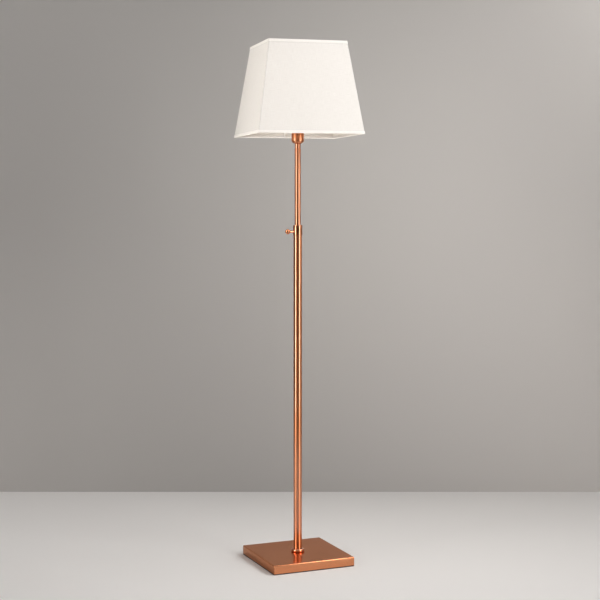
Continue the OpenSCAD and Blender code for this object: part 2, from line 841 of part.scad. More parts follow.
module shade_ring_lower() shade_ring(seat_z - shade_ring_h);
module shade_ring_upper() shade_ring(seat_z + spider_t);

// ---- bulb ----

module bulb_contact() {
    color(zinc) translate([0, 0, bulb_z]) cylinder(d = 9.5, h = tip_h);
}

module bulb_insulator() {
    color(black) translate([0, 0, bulb_z + tip_h]) cylinder(d1 = 11, d2 = cap_d - 2, h = vitrite_h);
}

module bulb_cap() {
    color(zinc) translate([0, 0, bulb_z + cap_low]) difference() {
        cylinder(d = cap_d, h = cap_h);
        translate([0, 0, cap_wall]) cylinder(d = cap_d - 2 * cap_wall, h = cap_h);
    }
}

// The outline of the glass: a globe that runs down to the neck along a tangent
module glass_outline(shrink) {
    r = bulb_r - shrink;
    foot = [bulb_neck_d / 2 - shrink, cap_top + shrink];
    reach = foot - [0, bulb_mid];
    turn = atan2(reach[1], reach[0]) + acos(r / norm(reach));
    touch = [r * cos(turn), bulb_mid + r * sin(turn)];
    intersection() {
        translate([0, bulb_mid]) circle(r);
        translate([0, cap_top]) square([bulb_d, bulb_len]);
    }
    polygon([[0, cap_top + shrink], foot, touch, [0, bulb_mid]]);
}

module bulb_glass() {
    stub = 8;
    color("#f7f6f2") translate([0, 0, bulb_z]) rotate_extrude() difference() {
        union() {
            glass_outline(0);
            translate([0, cap_top - stub]) square([cap_d / 2 - cap_wall - fit, stub]);
        }
        glass_outline(glass_t);
        translate([0, cap_top - stub - cut])
            square([cap_d / 2 - cap_wall - fit - glass_t, stub + glass_t + 2 * cut]);
    }
}

// ---- shade ----

function panel_face(h) = shade_low_w / 2 - tape_t - taper * h;
function lining_face(h) = panel_face(h) - panel_t;

module on_shade() {
    translate([0, 0, shade_z]) rotate([0, 0, shade_turn]) children();
}

module shade_panel(quarter) {
    low = tape_t;
    high = shade_h - tape_t;
    color(linen) on_shade() rotate([0, 0, 90 * quarter]) mitred_side([
        [lining_face(low), low], [panel_face(low), low],
        [panel_face(high), high], [lining_face(high), high]]);
}

module shade_panel_right() shade_panel(0);
module shade_panel_rear() shade_panel(1);
module shade_panel_left() shade_panel(2);
module shade_panel_front() shade_panel(3);

// Fabric tape folded round the panel's edge and its wire: down the outside, under, and up the inside
module edge_tape(upside) {
    // the wire's bends cut the corner, so the fold stands off the panel by what they need
    bend_in = (1 - cos(45)) * wire_bend + cos(45) * wire_d / 2;
    tuck = wire_d / 2 + max(wire_d / 2, bend_in) + 3 * fit;
    at = function (h) upside ? shade_h - h : h;
    pocket = wire_d + 2 * fit;
    inner = lining_face(at(0)) - tuck;
    profile = [
        [panel_face(at(0)) + tape_t, at(0)],
        [panel_face(at(tape_w)) + tape_t, at(tape_w)],
        [panel_face(at(tape_w)), at(tape_w)],
        [panel_face(at(tape_t)), at(tape_t)],
        [lining_face(at(tape_t)) - tuck, at(tape_t)],
        [lining_face(at(pocket)) - tuck, at(pocket)],
        [lining_face(at(tape_w - tape_t)), at(tape_w - tape_t)],
        [lining_face(at(tape_w)), at(tape_w)],
        [lining_face(at(pocket)) - tuck - tape_t, at(pocket + tape_t)],
        [inner - tape_t, at(0)]];
    for (quarter = [0 : 3]) rotate([0, 0, 90 * quarter]) mitred_side(profile);
}

module edge_tape_top() {
    color(linen) on_shade() edge_tape(true);
}

// The lower tape is slit where the spider's four legs come out of it
module edge_tape_bottom() {
    color(linen) on_shade() difference() {
        edge_tape(false);
        for (quarter = [0 : 3]) rotate([0, 0, 90 * quarter])
            translate([lining_face(0) - 2 * wire_d - arm_d, -arm_slot / 2, tape_t + fit])
                cube([2 * wire_d + arm_d - fit, arm_slot, tape_w]);
    }
}

module wire_square(half, z) {
    straight = 2 * (half - wire_bend);
    for (quarter = [0 : 3]) rotate([0, 0, 90 * quarter]) {
        translate([half, -straight / 2, z]) rotate([-90, 0, 0]) cylinder(d = wire_d, h = straight);
        translate([half - wire_bend, half - wire_bend, z]) rotate_extrude(angle = 90)
            translate([wire_bend, 0]) circle(d = wire_d);
    }
}

function wire_half(h) = lining_face(h) - wire_d / 2 - fit;

module shade_frame_top() {
    color(white) on_shade() wire_square(wire_half(wire_top_h), wire_top_h);
}

// The lower wire, the spider's four arms and its flat ring are welded together
module shade_frame_bottom() {
    low = wire_half(wire_low_h);
    leg_top = lining_face(arm_h) - arm_d / 2 - free;
    color(white) on_shade() difference() {
        union() {
            wire_square(low, wire_low_h);
            for (quarter = [0 : 3]) rotate([0, 0, 90 * quarter]) {
                rod([low - 1, 0, wire_low_h], [leg_top, 0, arm_h], arm_d - 1.2);
                translate([leg_top, 0, arm_h]) sphere(d = arm_d);
                rod([leg_top, 0, arm_h], [spider_d / 2 - 1, 0, arm_h], arm_d);
            }
            translate([0, 0, spider_rise]) cylinder(d = spider_d, h = spider_t);
        }
        translate([0, 0, spider_rise - cut]) cylinder(d = spider_bore, h = spider_t + 2 * cut);
        // the arms' ends are cut flush with the ring, so that the ring nuts sit flat on it
        for (z = [spider_rise - arm_d, spider_rise + spider_t]) translate([0, 0, z])
            cylinder(d = shade_ring_d + 2, h = arm_d);
    }
}

// ---- lead inside the pole ----

// From the block, along the base, round a bend and up through the stem
module lead_lower() {
    steps = 6;
    bend = [for (i = [0 : steps]) let (a = 90 * i / steps)
        [0, lead_bend * (1 - sin(a)), run_z + lead_bend * (1 - cos(a))]];
    color(grey_sheath) lead_along(concat([[0, sheath_end, run_z]], bend, [[0, 0, coil_foot]]), lead_d, 8);
}

// The curls lie between two straight ends, each as long as the lead is thick
coil_start = coil_foot + lead_d;
coil_len = lead_joint - lead_d - coil_start;
coil_lead_in = 0.06;
function soft_step(x) = let (c = max(0, min(1, x))) c * c * (3 - 2 * c);
function coil_spread(s) = coil_r * soft_step(s / coil_lead_in) * soft_step((1 - s) / coil_lead_in);
function coil_point(s) =
    let (r = coil_spread(s), a = 360 * coil_turns * s)
        [r * cos(a), r * sin(a), coil_start + coil_len * s];
coil_steps = 8 * coil_turns;
coil_path = [
    [0, 0, coil_foot],
    each [for (i = [0 : coil_steps]) coil_point(i / coil_steps)],
    [0, 0, lead_joint]];
coil_gap = min([for (i = [0 : len(coil_path) - 7], j = [i + 6 : len(coil_path) - 1])
    norm(coil_path[i] - coil_path[j])]) - lead_d;

// The curled stretch takes up the travel of the inner tube
module lead_coil() {
    echo(coil_gap = coil_gap);
    color(grey_sheath) lead_along(coil_path, lead_d, 6);
}

module lead_upper() {
    color(grey_sheath) translate([0, 0, lead_joint]) cylinder(d = lead_d, h = sheath_top - lead_joint);
}

base_cover();
ballast_plate();
bottom_plate();
base_feet();
bottom_plate_screws();
cord_grommet();
terminal_block();
terminal_screws();
block_screw();
earth_tag();
earth_screw();
earth_wire();
base_cores();
foot_bead();
foot_plug();
stem();
stem_washer();
stem_lock_washer();
stem_nut();
outer_tube();
collar();
guide_bush();
lead_lower();
lead_coil();
clamp_pad();
clamp_screw();
clamp_knob();
slide_bush();
inner_tube();
stop_ring();
retaining_ring();
neck();
holder_nipple();
nipple_nut();
lead_upper();
holder_cores();
holder_cup();
holder_sleeve();
ceramic_insert();
holder_screws();
screw_shell();
centre_contact();
shade_ring_lower();
shade_ring_upper();
bulb_contact();
bulb_insulator();
bulb_cap();
bulb_glass();
shade_panel_front();
shade_panel_right();
shade_panel_rear();
shade_panel_left();
shade_frame_top();
shade_frame_bottom();
edge_tape_top();
edge_tape_bottom();
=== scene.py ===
import itertools
import math

import bmesh
import bpy
from mathutils import Matrix, Vector


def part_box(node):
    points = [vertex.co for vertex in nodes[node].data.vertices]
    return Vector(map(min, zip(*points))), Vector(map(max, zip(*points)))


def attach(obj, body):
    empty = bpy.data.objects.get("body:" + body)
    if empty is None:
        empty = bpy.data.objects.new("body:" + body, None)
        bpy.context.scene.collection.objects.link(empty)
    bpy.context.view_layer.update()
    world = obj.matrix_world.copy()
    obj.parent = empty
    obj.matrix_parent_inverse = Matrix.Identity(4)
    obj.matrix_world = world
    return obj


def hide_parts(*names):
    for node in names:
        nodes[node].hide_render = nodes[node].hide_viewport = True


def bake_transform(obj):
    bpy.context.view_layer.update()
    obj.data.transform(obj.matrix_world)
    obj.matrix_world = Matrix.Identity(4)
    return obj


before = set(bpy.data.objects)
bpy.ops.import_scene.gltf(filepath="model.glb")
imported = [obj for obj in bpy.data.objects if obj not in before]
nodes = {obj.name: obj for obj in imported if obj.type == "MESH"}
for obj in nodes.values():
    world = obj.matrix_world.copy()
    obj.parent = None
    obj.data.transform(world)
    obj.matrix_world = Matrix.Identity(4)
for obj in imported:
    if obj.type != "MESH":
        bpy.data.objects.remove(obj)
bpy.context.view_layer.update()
scene = bpy.context.scene
MM = 0.001


# ---- camera ----
# The photographer stood 4.4 m away and a little to the left of the lamp's front, with the lens at
# chest height and tipped down slightly. The shift is the small offset of the photograph's frame.
HEADING = math.radians(-22.95)
TIP = math.radians(4.22)
camera_data = bpy.data.cameras.new("camera")
camera_data.lens = 80.92
camera_data.sensor_width = 36
camera_data.shift_x = 0.0038
camera = bpy.data.objects.new("camera", camera_data)
camera.location = (-1.701, -4.017, 1.180)
camera.rotation_euler = (math.pi / 2 - TIP, 0, HEADING)
scene.collection.objects.link(camera)
scene.camera = camera
scene.view_settings.view_transform = "Standard"


# ---- studio ----
# A pale floor and a plain grey wall of the same width, in a dark room, lit by soft boxes at both sides
# and above, and by a card at the lamp's foot that throws light up into the shade. Their paint carries
# painted light, a gradient for the fall of light across them. Floor and wall let the camera through
# from their backs, and the floor is open under the base, so that all sides can be seen.
def feed(tree, node, inputs):
    """Gives a node's inputs their values or links."""
    for key, value in inputs.items():
        if isinstance(value, bpy.types.NodeSocket):
            tree.links.new(value, node.inputs[key])
        else:
            node.inputs[key].default_value = value


def add(tree, kind, inputs=None, **settings):
    """A new shader node with its settings, and values or links for its inputs."""
    made = tree.nodes.new("ShaderNode" + kind)
    for key, value in settings.items():
        setattr(made, key, value)
    feed(tree, made, inputs or {})
    return made


def maths(tree, operation, *values):
    return add(tree, "Math", dict(enumerate(values)), operation=operation).outputs[0]


def spread(tree, value, low, high, from_low=0.3, from_high=0.7):
    """The value's range from from_low to from_high spread over low to high."""
    return add(tree, "MapRange", {"Value": value, "From Min": from_low, "From Max": from_high,
                                  "To Min": low, "To Max": high}).outputs["Result"]


def surface(name, colour, roughness, metallic=0.0, **more):
    """A new material with its Principled shader; more names further inputs, with _ for a space."""
    material = bpy.data.materials.new(name)
    material.use_nodes = True
    tree = material.node_tree
    shader = tree.nodes["Principled BSDF"]
    feed(tree, shader, {"Base Color": (*colour, 1), "Roughness": roughness, "Metallic": metallic})
    feed(tree, shader, {key.replace("_", " "): value for key, value in more.items()})
    return material, tree, shader


def group(name, inputs, outputs):
    """A node group with named sockets; inputs give each one's kind and value, outputs are numbers."""
    tree = bpy.data.node_groups.new(name, "ShaderNodeTree")
    for label, (kind, value) in inputs.items():
        socket = tree.interface.new_socket(label, in_out="INPUT", socket_type="NodeSocket" + kind)
        socket.default_value = value
    for label in outputs:
        tree.interface.new_socket(label, in_out="OUTPUT", socket_type="NodeSocketFloat")
    return tree, tree.nodes.new("NodeGroupInput").outputs, tree.nodes.new("NodeGroupOutput").inputs


def tint(tree, shader, colour, share):
    """Gives the shader a colour that a share, changing over the surface, makes lighter or darker."""
    tinted = add(tree, "VectorMath", {0: colour, "Scale": share}, operation="SCALE")
    feed(tree, shader, {"Base Color": tinted.outputs[0]})


def paint_light_gradient(tree, shader, light_slopes, middle):
    """Painted light: paint growing lighter with x, y, x * x and x * y of the plane, measured from middle."""
    place = add(tree, "SeparateXYZ", {0: add(tree, "TexCoord").outputs["Object"]}).outputs
    x, y = (maths(tree, "SUBTRACT", place[axis], start) for axis, start in zip("XY", middle))
    share = 1.0
    for value, slope in zip((x, y, maths(tree, "MULTIPLY", x, x), maths(tree, "MULTIPLY", x, y)), light_slopes):
        share = maths(tree, "MULTIPLY_ADD", value, slope, share)
    tint(tree, shader, shader.inputs["Base Color"].default_value[:3], share)


def open_behind(tree, shader, window=0):
    """Lets the camera see through a plane from its back, and leaves it open round the lamp's axis."""
    geometry = add(tree, "NewGeometry").outputs
    away = add(tree, "VectorMath", {0: geometry["Position"]}, operation="ABSOLUTE").outputs[0]
    place = add(tree, "SeparateXYZ", {0: away}).outputs
    inside = maths(tree, "LESS_THAN", maths(tree, "MAXIMUM", place["X"], place["Y"]), window)
    open_here = maths(tree, "MAXIMUM", geometry["Backfacing"], inside)
    clear = add(tree, "BsdfTransparent").outputs[0]
    either = add(tree, "MixShader", {0: open_here, 1: shader.outputs[0], 2: clear}).outputs[0]
    feed(tree, tree.nodes["Material Output"], {"Surface": either})


def backdrop(name, width, depth, location, rotation, paint, light_slopes, middle, window=0):
    """A plane whose paint carries painted light, open from behind."""
    mesh = bpy.data.meshes.new(name)
    x, y = width / 2, depth / 2
    mesh.from_pydata([(-x, -y, 0), (x, -y, 0), (x, y, 0), (-x, y, 0)], [], [(0, 1, 2, 3)])
    material, tree, shader = paint
    paint_light_gradient(tree, shader, light_slopes, middle)
    open_behind(tree, shader, window)
    mesh.materials.append(material)
    plane = bpy.data.objects.new(name, mesh)
    plane.location = location
    plane.rotation_euler = rotation
    scene.collection.objects.link(plane)
    return plane


WALL_BEHIND = 1.042
FLOOR_FRONT = 1.3
SET_WIDTH = 3.6
UNDER_BASE = 0.13
WALL_HEIGHT = 6
into_room = Vector((-math.sin(HEADING), math.cos(HEADING), 0))
floor_place = (WALL_BEHIND - FLOOR_FRONT) / 2 * into_room
# Painted light: the slopes make each paint lighter or darker across its plane, for the fall of light.
floor_paint = surface("floor_paint", (0.843, 0.823, 0.811), 0.6, Specular_IOR_Level=0.0)
backdrop("floor", SET_WIDTH, WALL_BEHIND + FLOOR_FRONT, floor_place, (0, 0, HEADING), floor_paint,
         (-0.12, -0.22, 0.05, 0.0), (0, 0.13), UNDER_BASE)
wall_place = WALL_BEHIND * into_room + Vector((0, 0, WALL_HEIGHT / 2))
wall_paint = surface("wall_paint", (0.435, 0.417, 0.403), 0.8)
wall = backdrop("wall", SET_WIDTH, WALL_HEIGHT, wall_place, (math.pi / 2, 0, HEADING), wall_paint,
                (-0.05, -0.02, 0.28, -0.13), (0, -1.8))
wall.visible_shadow = False


def soft_box(name, azimuth, distance, height, width, tall, watts, colour, aim=(0, 0, 0.8), cone=180):
    """An area light; azimuth 0 is in front of the lamp's -Y side, and positive is to the right."""
    data = bpy.data.lights.new(name, "AREA")
    data.shape = "RECTANGLE"
    data.size, data.size_y = width, tall
    data.energy = watts
    data.color = colour
    data.spread = math.radians(cone)
    box = bpy.data.objects.new(name, data)
    a = math.radians(azimuth)
    box.location = (distance * math.sin(a), -distance * math.cos(a), height)
    box.rotation_euler = (box.location - Vector(aim)).to_track_quat("Z", "Y").to_euler()
    box.visible_camera = False
    scene.collection.objects.link(box)
    return box


KEY_WHITE = (1.0, 0.985, 0.965)
STRIP_WHITE = (1.0, 0.98, 0.95)
for box in (soft_box("key_box", 32, 2.2, 1.7, width=1.1, tall=2.0, watts=14.6, colour=KEY_WHITE,
                     aim=(0, 0, 1.3), cone=80),
            soft_box("fill_box", -80, 1.9, 1.6, width=0.7, tall=1.8, watts=6.9, colour=(1.0, 0.965, 0.91),
                     aim=(0, 0, 1.4), cone=55),
            soft_box("foot_card", 0, 0, 0.1, width=0.26, tall=0.26, watts=1.5, colour=(1.0, 0.94, 0.87),
                     aim=(0, 0, 1.4), cone=35)):
    box.visible_glossy = False
for strip in (soft_box("key_strip", 28, 2.2, 1.25, width=0.7, tall=2.4, watts=30, colour=STRIP_WHITE),
              soft_box("fill_strip", -80, 1.9, 1.25, width=0.55, tall=2.4, watts=32, colour=STRIP_WHITE)):
    strip.visible_diffuse = False
soft_box("top_box", -23, 0.8, 4.0, width=2.6, tall=2.0, watts=11, colour=(1.0, 0.99, 0.98),
         aim=(-0.31, -0.74, 0), cone=110)
soft_box("side_box", 75, 2.0, 2.7, width=1.4, tall=1.2, watts=33, colour=KEY_WHITE, aim=(0, 0, 0.1))
world = bpy.data.worlds.new("studio_air")
world.use_nodes = True
air = world.node_tree
room = air.nodes["Background"]
rise = add(air, "SeparateXYZ", {0: add(air, "TexCoord").outputs["Generated"]}).outputs["Z"]
overhead = spread(air, rise, 0.015, 0.15, 0.15, 0.7)
underfoot = spread(air, rise, 0, 1.2, -0.6, -0.9)
feed(air, room, {"Color": (1, 0.975, 0.94, 1), "Strength": maths(air, "ADD", overhead, underfoot)})
far_wall = add(air, "Background", {"Color": (0.36, 0.345, 0.332, 1)})
seen = add(air, "LightPath").outputs["Is Camera Ray"]
either = add(air, "MixShader", {0: seen, 1: room.outputs[0], 2: far_wall.outputs[0]}).outputs[0]
feed(air, air.nodes["World Output"], {"Surface": either})
scene.world = world


# ---- base cover ----
# A square tray of sheet steel, folded and welded, ground along its length and plated in satin copper.
# It stands mouth down over the ballast, with soft edges above and a rolled lip below.
def noise(tree, place, scale, detail, roughness=0.5, **settings):
    """Cloudy noise; roughness is how much its finer levels count."""
    return add(tree, "TexNoise", {"Vector": place, "Scale": scale, "Detail": detail, "Roughness": roughness},
               **settings).outputs["Fac"]


def brush_marks():
    """Fine marks that run one way; Stretch says how fast they change along each axis."""
    tree, given, out = group("brush marks", {"Stretch": ("Vector", (1, 1, 1))}, ("Height", "Tone"))
    place = add(tree, "TexCoord").outputs["Object"]
    stretched = add(tree, "VectorMath", {0: place, 1: given["Stretch"]}, operation="MULTIPLY").outputs[0]
    fine = noise(tree, stretched, 1.0, 3.0, 0.65)
    tree.links.new(fine, out["Height"])
    both = maths(tree, "ADD", fine, noise(tree, place, 9.0, 4.0, 0.55))
    tree.links.new(maths(tree, "MULTIPLY", both, 0.5), out["Tone"])
    return tree


BRUSH_MARKS = brush_marks()


def blend_colours(tree, factor, first, second):
    return add(tree, "Mix", {"Factor": factor, "A": (*first, 1), "B": (*second, 1)},
               data_type="RGBA").outputs["Result"]


def bump(tree, shader, height, strength, depth):
    bumped = add(tree, "Bump", {"Height": height, "Strength": strength, "Distance": depth})
    feed(tree, shader, {"Normal": bumped.outputs["Normal"]})


def ground_metal(name, stretch, bright=(0.74, 0.305, 0.15), dull=(0.66, 0.26, 0.125), rough=(0.20, 0.27),
                 lacquer=0.0, round_grind=0.0, marks_depth=0.02):
    """Plated or plain metal with fine marks, copper unless said, bare or under a clear lacquer."""
    material, tree, shader = surface(name, bright, 0.28, metallic=1.0, Anisotropic=round_grind,
                                     Anisotropic_Rotation=0.25, Specular_Tint=(1.0, 0.85, 0.75, 1),
                                     Coat_Weight=lacquer, Coat_Roughness=0.14, Coat_IOR=1.8)
    marks = add(tree, "Group", {"Stretch": stretch}, node_tree=BRUSH_MARKS).outputs
    feed(tree, shader, {"Base Color": blend_colours(tree, spread(tree, marks["Tone"], 0, 1), bright, dull),
                        "Roughness": spread(tree, marks["Tone"], *rough)})
    bump(tree, shader, marks["Height"], 0.25, marks_depth * MM)
    return material


def ring(radius, z, count=96):
    """Points round the Z axis; radius may depend on the angle."""
    if radius == 0:
        return [Vector((0, 0, z))]
    points = []
    for k in range(count):
        a = math.tau * k / count
        r = radius(a) if callable(radius) else radius
        points.append(Vector((r * math.cos(a), r * math.sin(a), z)))
    return points


def quarter_turn(quarter, size=4):
    return Matrix.Rotation(math.radians(90 * quarter), size, "Z")


def square_ring(half, corner, z, steps=6):
    """Points round a square with round corners, counter-clockwise from the +X side."""
    points = []
    for quarter in range(4):
        for k in range(steps + 1):
            a = math.radians(90 * k / steps)
            x = half - corner + corner * math.cos(a)
            y = half - corner + corner * math.sin(a)
            points.append(quarter_turn(quarter, 3) @ Vector((x, y, z)))
    return points


def rounded(points, steps=5):
    """An outline of (a, b) or (a, b, rounding) points, with its corners rounded by arcs."""
    made = []
    for i, point in enumerate(points):
        here = Vector(point[:2])
        bend = point[2] if len(point) > 2 else 0
        if not bend:
            made.append(here)
            continue
        back = Vector(points[i - 1][:2]) - here
        on = Vector(points[(i + 1) % len(points)][:2]) - here
        half = back.angle(on) / 2
        reach = bend / math.tan(half)
        start = here + reach * back.normalized()
        centre = here + bend / math.sin(half) * (back.normalized() + on.normalized()).normalized()
        turn = (start - centre).angle_signed(here + reach * on.normalized() - centre)
        for k in range(steps + 1):
            made.append(centre + Matrix.Rotation(-turn * k / steps, 2) @ (start - centre))
    return made


def loft(name, rings, material, body, replaces=(), slot=None, loop=False, place=None, sharp=35):
    """A skin over rings of points, closed from the last ring to the first where loop is true."""
    bm = bmesh.new()
    layer = bm.loops.layers.uv.new("metres")
    made = [[bm.verts.new(place @ p if place else p) for p in points] for points in rings]
    widest = max(rings, key=len)
    along = [0, *itertools.accumulate((b - a).length for a, b in zip(widest, widest[1:] + widest[:1]))]
    across = 0
    for a, b in zip(made, made[1:] + made[:1] if loop else made[1:]):
        count = max(len(a), len(b))
        step = (b[0].co - a[0].co).length
        for k in range(count if count > 1 else 0):
            on = (k + 1) % count
            corners = {a[k % len(a)]: (along[k], across), a[on % len(a)]: (along[k + 1], across),
                       b[on % len(b)]: (along[k + 1], across + step),
                       b[k % len(b)]: (along[k], across + step)}
            for corner, place_on_cloth in zip(bm.faces.new(corners).loops, corners.values()):
                corner[layer].uv = place_on_cloth
        across += step
    return settle(name, bm, material, body, replaces, slot, sharp)


def settle(name, bm, material, body, replaces=(), slot=None, sharp=35):
    """Makes the piece from its mesh, shades it and says what it rides on and stands for."""
    bmesh.ops.recalc_face_normals(bm, faces=bm.faces)
    mesh = bpy.data.meshes.new(name)
    bm.to_mesh(mesh)
    bm.free()
    mesh.shade_smooth()
    mesh.set_sharp_from_angle(angle=math.radians(sharp))
    mesh.materials.append(material)
    piece = bpy.data.objects.new(name, mesh)
    scene.collection.objects.link(piece)
    if body:
        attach(piece, body)
    if replaces:
        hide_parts(*replaces)
    return piece


def lathe(name, outline, count, *finish, **more):
    """A loft round the Z axis, from (radius, height) points; hollow where they begin off the axis."""
    return loft(name, [ring(r, z, count) for r, z in outline], *finish, loop=outline[0][0] > 0, **more)


cover_foot, cover_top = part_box("base_cover")
cover_half = cover_top.x
COVER_SHEET = 1.5 * MM
COVER_EDGE = 2.5 * MM
COVER_LIP = 0.7 * MM
COVER_CORNER = 3 * MM
COVER_BORDER = 14 * MM
LEAST_CORNER = 0.4 * MM
STEM_HOLE = 5.3 * MM
outline = rounded([
    (cover_half - COVER_BORDER, cover_top.z), (cover_half, cover_top.z, COVER_EDGE),
    (cover_half, cover_foot.z, COVER_LIP), (cover_half - COVER_SHEET, cover_foot.z, COVER_LIP / 2),
    (cover_half - COVER_SHEET, cover_top.z - COVER_SHEET, COVER_SHEET),
    (cover_half - COVER_BORDER, cover_top.z - COVER_SHEET)])
rings = [square_ring(half, max(COVER_CORNER - (cover_half - half), LEAST_CORNER), z) for half, z in outline]
hole = [STEM_HOLE * Vector((p.x, p.y)).normalized() for p in rings[0]]
hole_above, hole_below = ([Vector((*p, z)) for p in hole] for z in (cover_top.z, cover_top.z - COVER_SHEET))
rings = [hole_above, *rings, hole_below]
cover_copper = ground_metal("copper_base_lengthwise", (20, 900, 900))
cover = loft("base_cover_shell", rings, cover_copper, "stand", ["base_cover"], "copper_satin", loop=True)
# Painted shade: the ±X sides get a darker copy of the copper, with its marks running across.
cover.data.materials.append(
    ground_metal("copper_base_crosswise_painted_shade", (900, 20, 900), (0.44, 0.175, 0.08), (0.39, 0.15, 0.07)))
for face in cover.data.polygons:
    face.material_index = int(abs(face.normal.x) > 0.75)


# ---- ballast, bottom plate, feet and screws ----
# A cast iron plate fills the cover. A black sheet closes it below, held by four cross-recessed screws
# that go into the casting's bosses, and stands on four rubber feet with moulded rings. A black strip
# runs round its rim, just under the cover's edge: painted shadow, a dark band that stands for the shade
# in the gap under the edge.
def surface_grain():
    """Fine round grain, as of castings, powder coats and moulded skins."""
    tree, given, out = group("surface grain", {"Size": ("Float", 900.0)}, ("Height", "Mask"))
    place = add(tree, "TexCoord").outputs["Object"]
    tree.links.new(noise(tree, place, given["Size"], 4.0, 0.6), out["Height"])
    tree.links.new(noise(tree, place, 14.0, 3.0), out["Mask"])
    return tree


SURFACE_GRAIN = surface_grain()


def grained(name, light, dark, rough, metallic=0.0, size=900.0, depth=0.05):
    """A finish with grain of its own and slightly uneven colour and gloss; depth is in millimetres."""
    material, tree, shader = surface(name, light, rough, metallic)
    grain = add(tree, "Group", {"Size": size}, node_tree=SURFACE_GRAIN).outputs
    feed(tree, shader, {"Base Color": blend_colours(tree, spread(tree, grain["Mask"], 0, 1), light, dark),
                        "Roughness": spread(tree, grain["Mask"], rough * 0.88, rough * 1.12)})
    bump(tree, shader, grain["Height"], 0.5, depth * MM)
    return material


def dress(material, *names):
    """Gives CAD nodes whose shape is right their finish."""
    for name in names:
        data = nodes[name].data
        data.materials.clear()
        data.materials.append(material)


cast_iron = grained("cast_iron", (0.10, 0.10, 0.105), (0.055, 0.052, 0.05), 0.7, 0.6, 500.0, 0.3)
black_coat = grained("black_powder_coat", (0.02, 0.02, 0.021), (0.012, 0.012, 0.013), 0.5, size=1400.0)
rubber = grained("black_rubber", (0.022, 0.022, 0.023), (0.014, 0.014, 0.014), 0.72, size=700.0)
zinc = ground_metal("zinc_plate", (300, 300, 300), (0.62, 0.63, 0.62), (0.48, 0.49, 0.48), (0.25, 0.4))
dress(cast_iron, "ballast_plate")
dress(black_coat, "bottom_plate")

foot_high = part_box("base_feet")[1]
plate_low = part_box("bottom_plate")[0]
FOOT_RADIUS = 12 * MM
foot_reach = foot_high.x - FOOT_RADIUS
foot_points = [(0, 0.9, 0), (3.2, 0.9, 0.3), (3.6, 0, 0.3), (6.4, 0, 0.3), (6.8, 0.5, 0.2),
               (7.6, 0.5, 0.2), (8, 0, 0.3)]
foot_outline = rounded([
    *((r * MM, z * MM, edge * MM) for r, z, edge in foot_points), (FOOT_RADIUS, 0, 0.8 * MM),
    (FOOT_RADIUS, foot_high.z, 0.3 * MM), (0, foot_high.z)], 4)
AT_CORNERS = ((1, 1), (-1, 1), (-1, -1), (1, -1))
for index, (x, y) in enumerate(AT_CORNERS):
    place = Matrix.Translation((x * foot_reach, y * foot_reach, 0))
    lathe(f"rubber_foot_{index + 1}", foot_outline, 48, rubber, "stand", ["base_feet"], "rubber_black",
          place=place)

# Painted shadow: a black band in the gap under the cover's edge.
STRIP_OUT = cover_half - 0.2 * MM
STRIP_STEP = cover_half - COVER_SHEET - 0.3 * MM
STRIP_IN = STRIP_STEP - 5 * MM
STRIP_FOOT = 0.1 * MM
UNDER_LIP = cover_foot.z - 0.05 * MM
shadow_strip_outline = rounded([
    (STRIP_OUT, STRIP_FOOT, 0.1 * MM), (STRIP_OUT, UNDER_LIP, 0.1 * MM), (STRIP_STEP, UNDER_LIP),
    (STRIP_STEP, plate_low.z), (STRIP_IN, plate_low.z), (STRIP_IN, STRIP_FOOT, 0.3 * MM)], 3)
loft("painted_shadow_strip", [square_ring(half, COVER_CORNER, z) for half, z in shadow_strip_outline], rubber, "stand",
     slot="rubber_black", loop=True)


def cut_away(piece, cutter, overlapping=False):
    """Cuts one piece by another, which is then gone; overlapping is for a cutter that crosses itself."""
    cut = piece.modifiers.new("cut", "BOOLEAN")
    cut.object = cutter
    cut.solver = "EXACT"
    cut.use_self = overlapping
    graph = bpy.context.evaluated_depsgraph_get()
    piece.data = bpy.data.meshes.new_from_object(piece.evaluated_get(graph))
    piece.modifiers.clear()
    bpy.data.objects.remove(cutter)
    piece.data.set_sharp_from_angle(angle=math.radians(35))


screw_low, screw_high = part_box("bottom_plate_screws")
SCREW_RADIUS = 4 * MM
RECESS = 0.45
screw_reach = screw_high.x - SCREW_RADIUS
head_height = plate_low.z - screw_low.z
head_outline = rounded([
    (0, -head_height), (SCREW_RADIUS * 0.62, -head_height, SCREW_RADIUS * 0.3),
    (SCREW_RADIUS, -0.35 * head_height, SCREW_RADIUS * 0.2), (SCREW_RADIUS, 0), (0, 0)], 4)
blade_size = Matrix.Diagonal((SCREW_RADIUS * 1.25, SCREW_RADIUS * 0.24, RECESS * head_height * 2, 1))
blade = Matrix.Translation((0, 0, -head_height)) @ blade_size
for index, (x, y) in enumerate(AT_CORNERS):
    place = Matrix.Translation((x * screw_reach, y * screw_reach, plate_low.z))
    head = lathe(f"plate_screw_{index + 1}", head_outline, 48, zinc, "stand", ["bottom_plate_screws"],
                 "zinc_plate", place=place)
    recess = bmesh.new()
    for quarter in range(2):
        bmesh.ops.create_cube(recess, size=1, matrix=place @ quarter_turn(quarter) @ blade)
    cut_away(head, settle("recess", recess, zinc, None), overlapping=True)


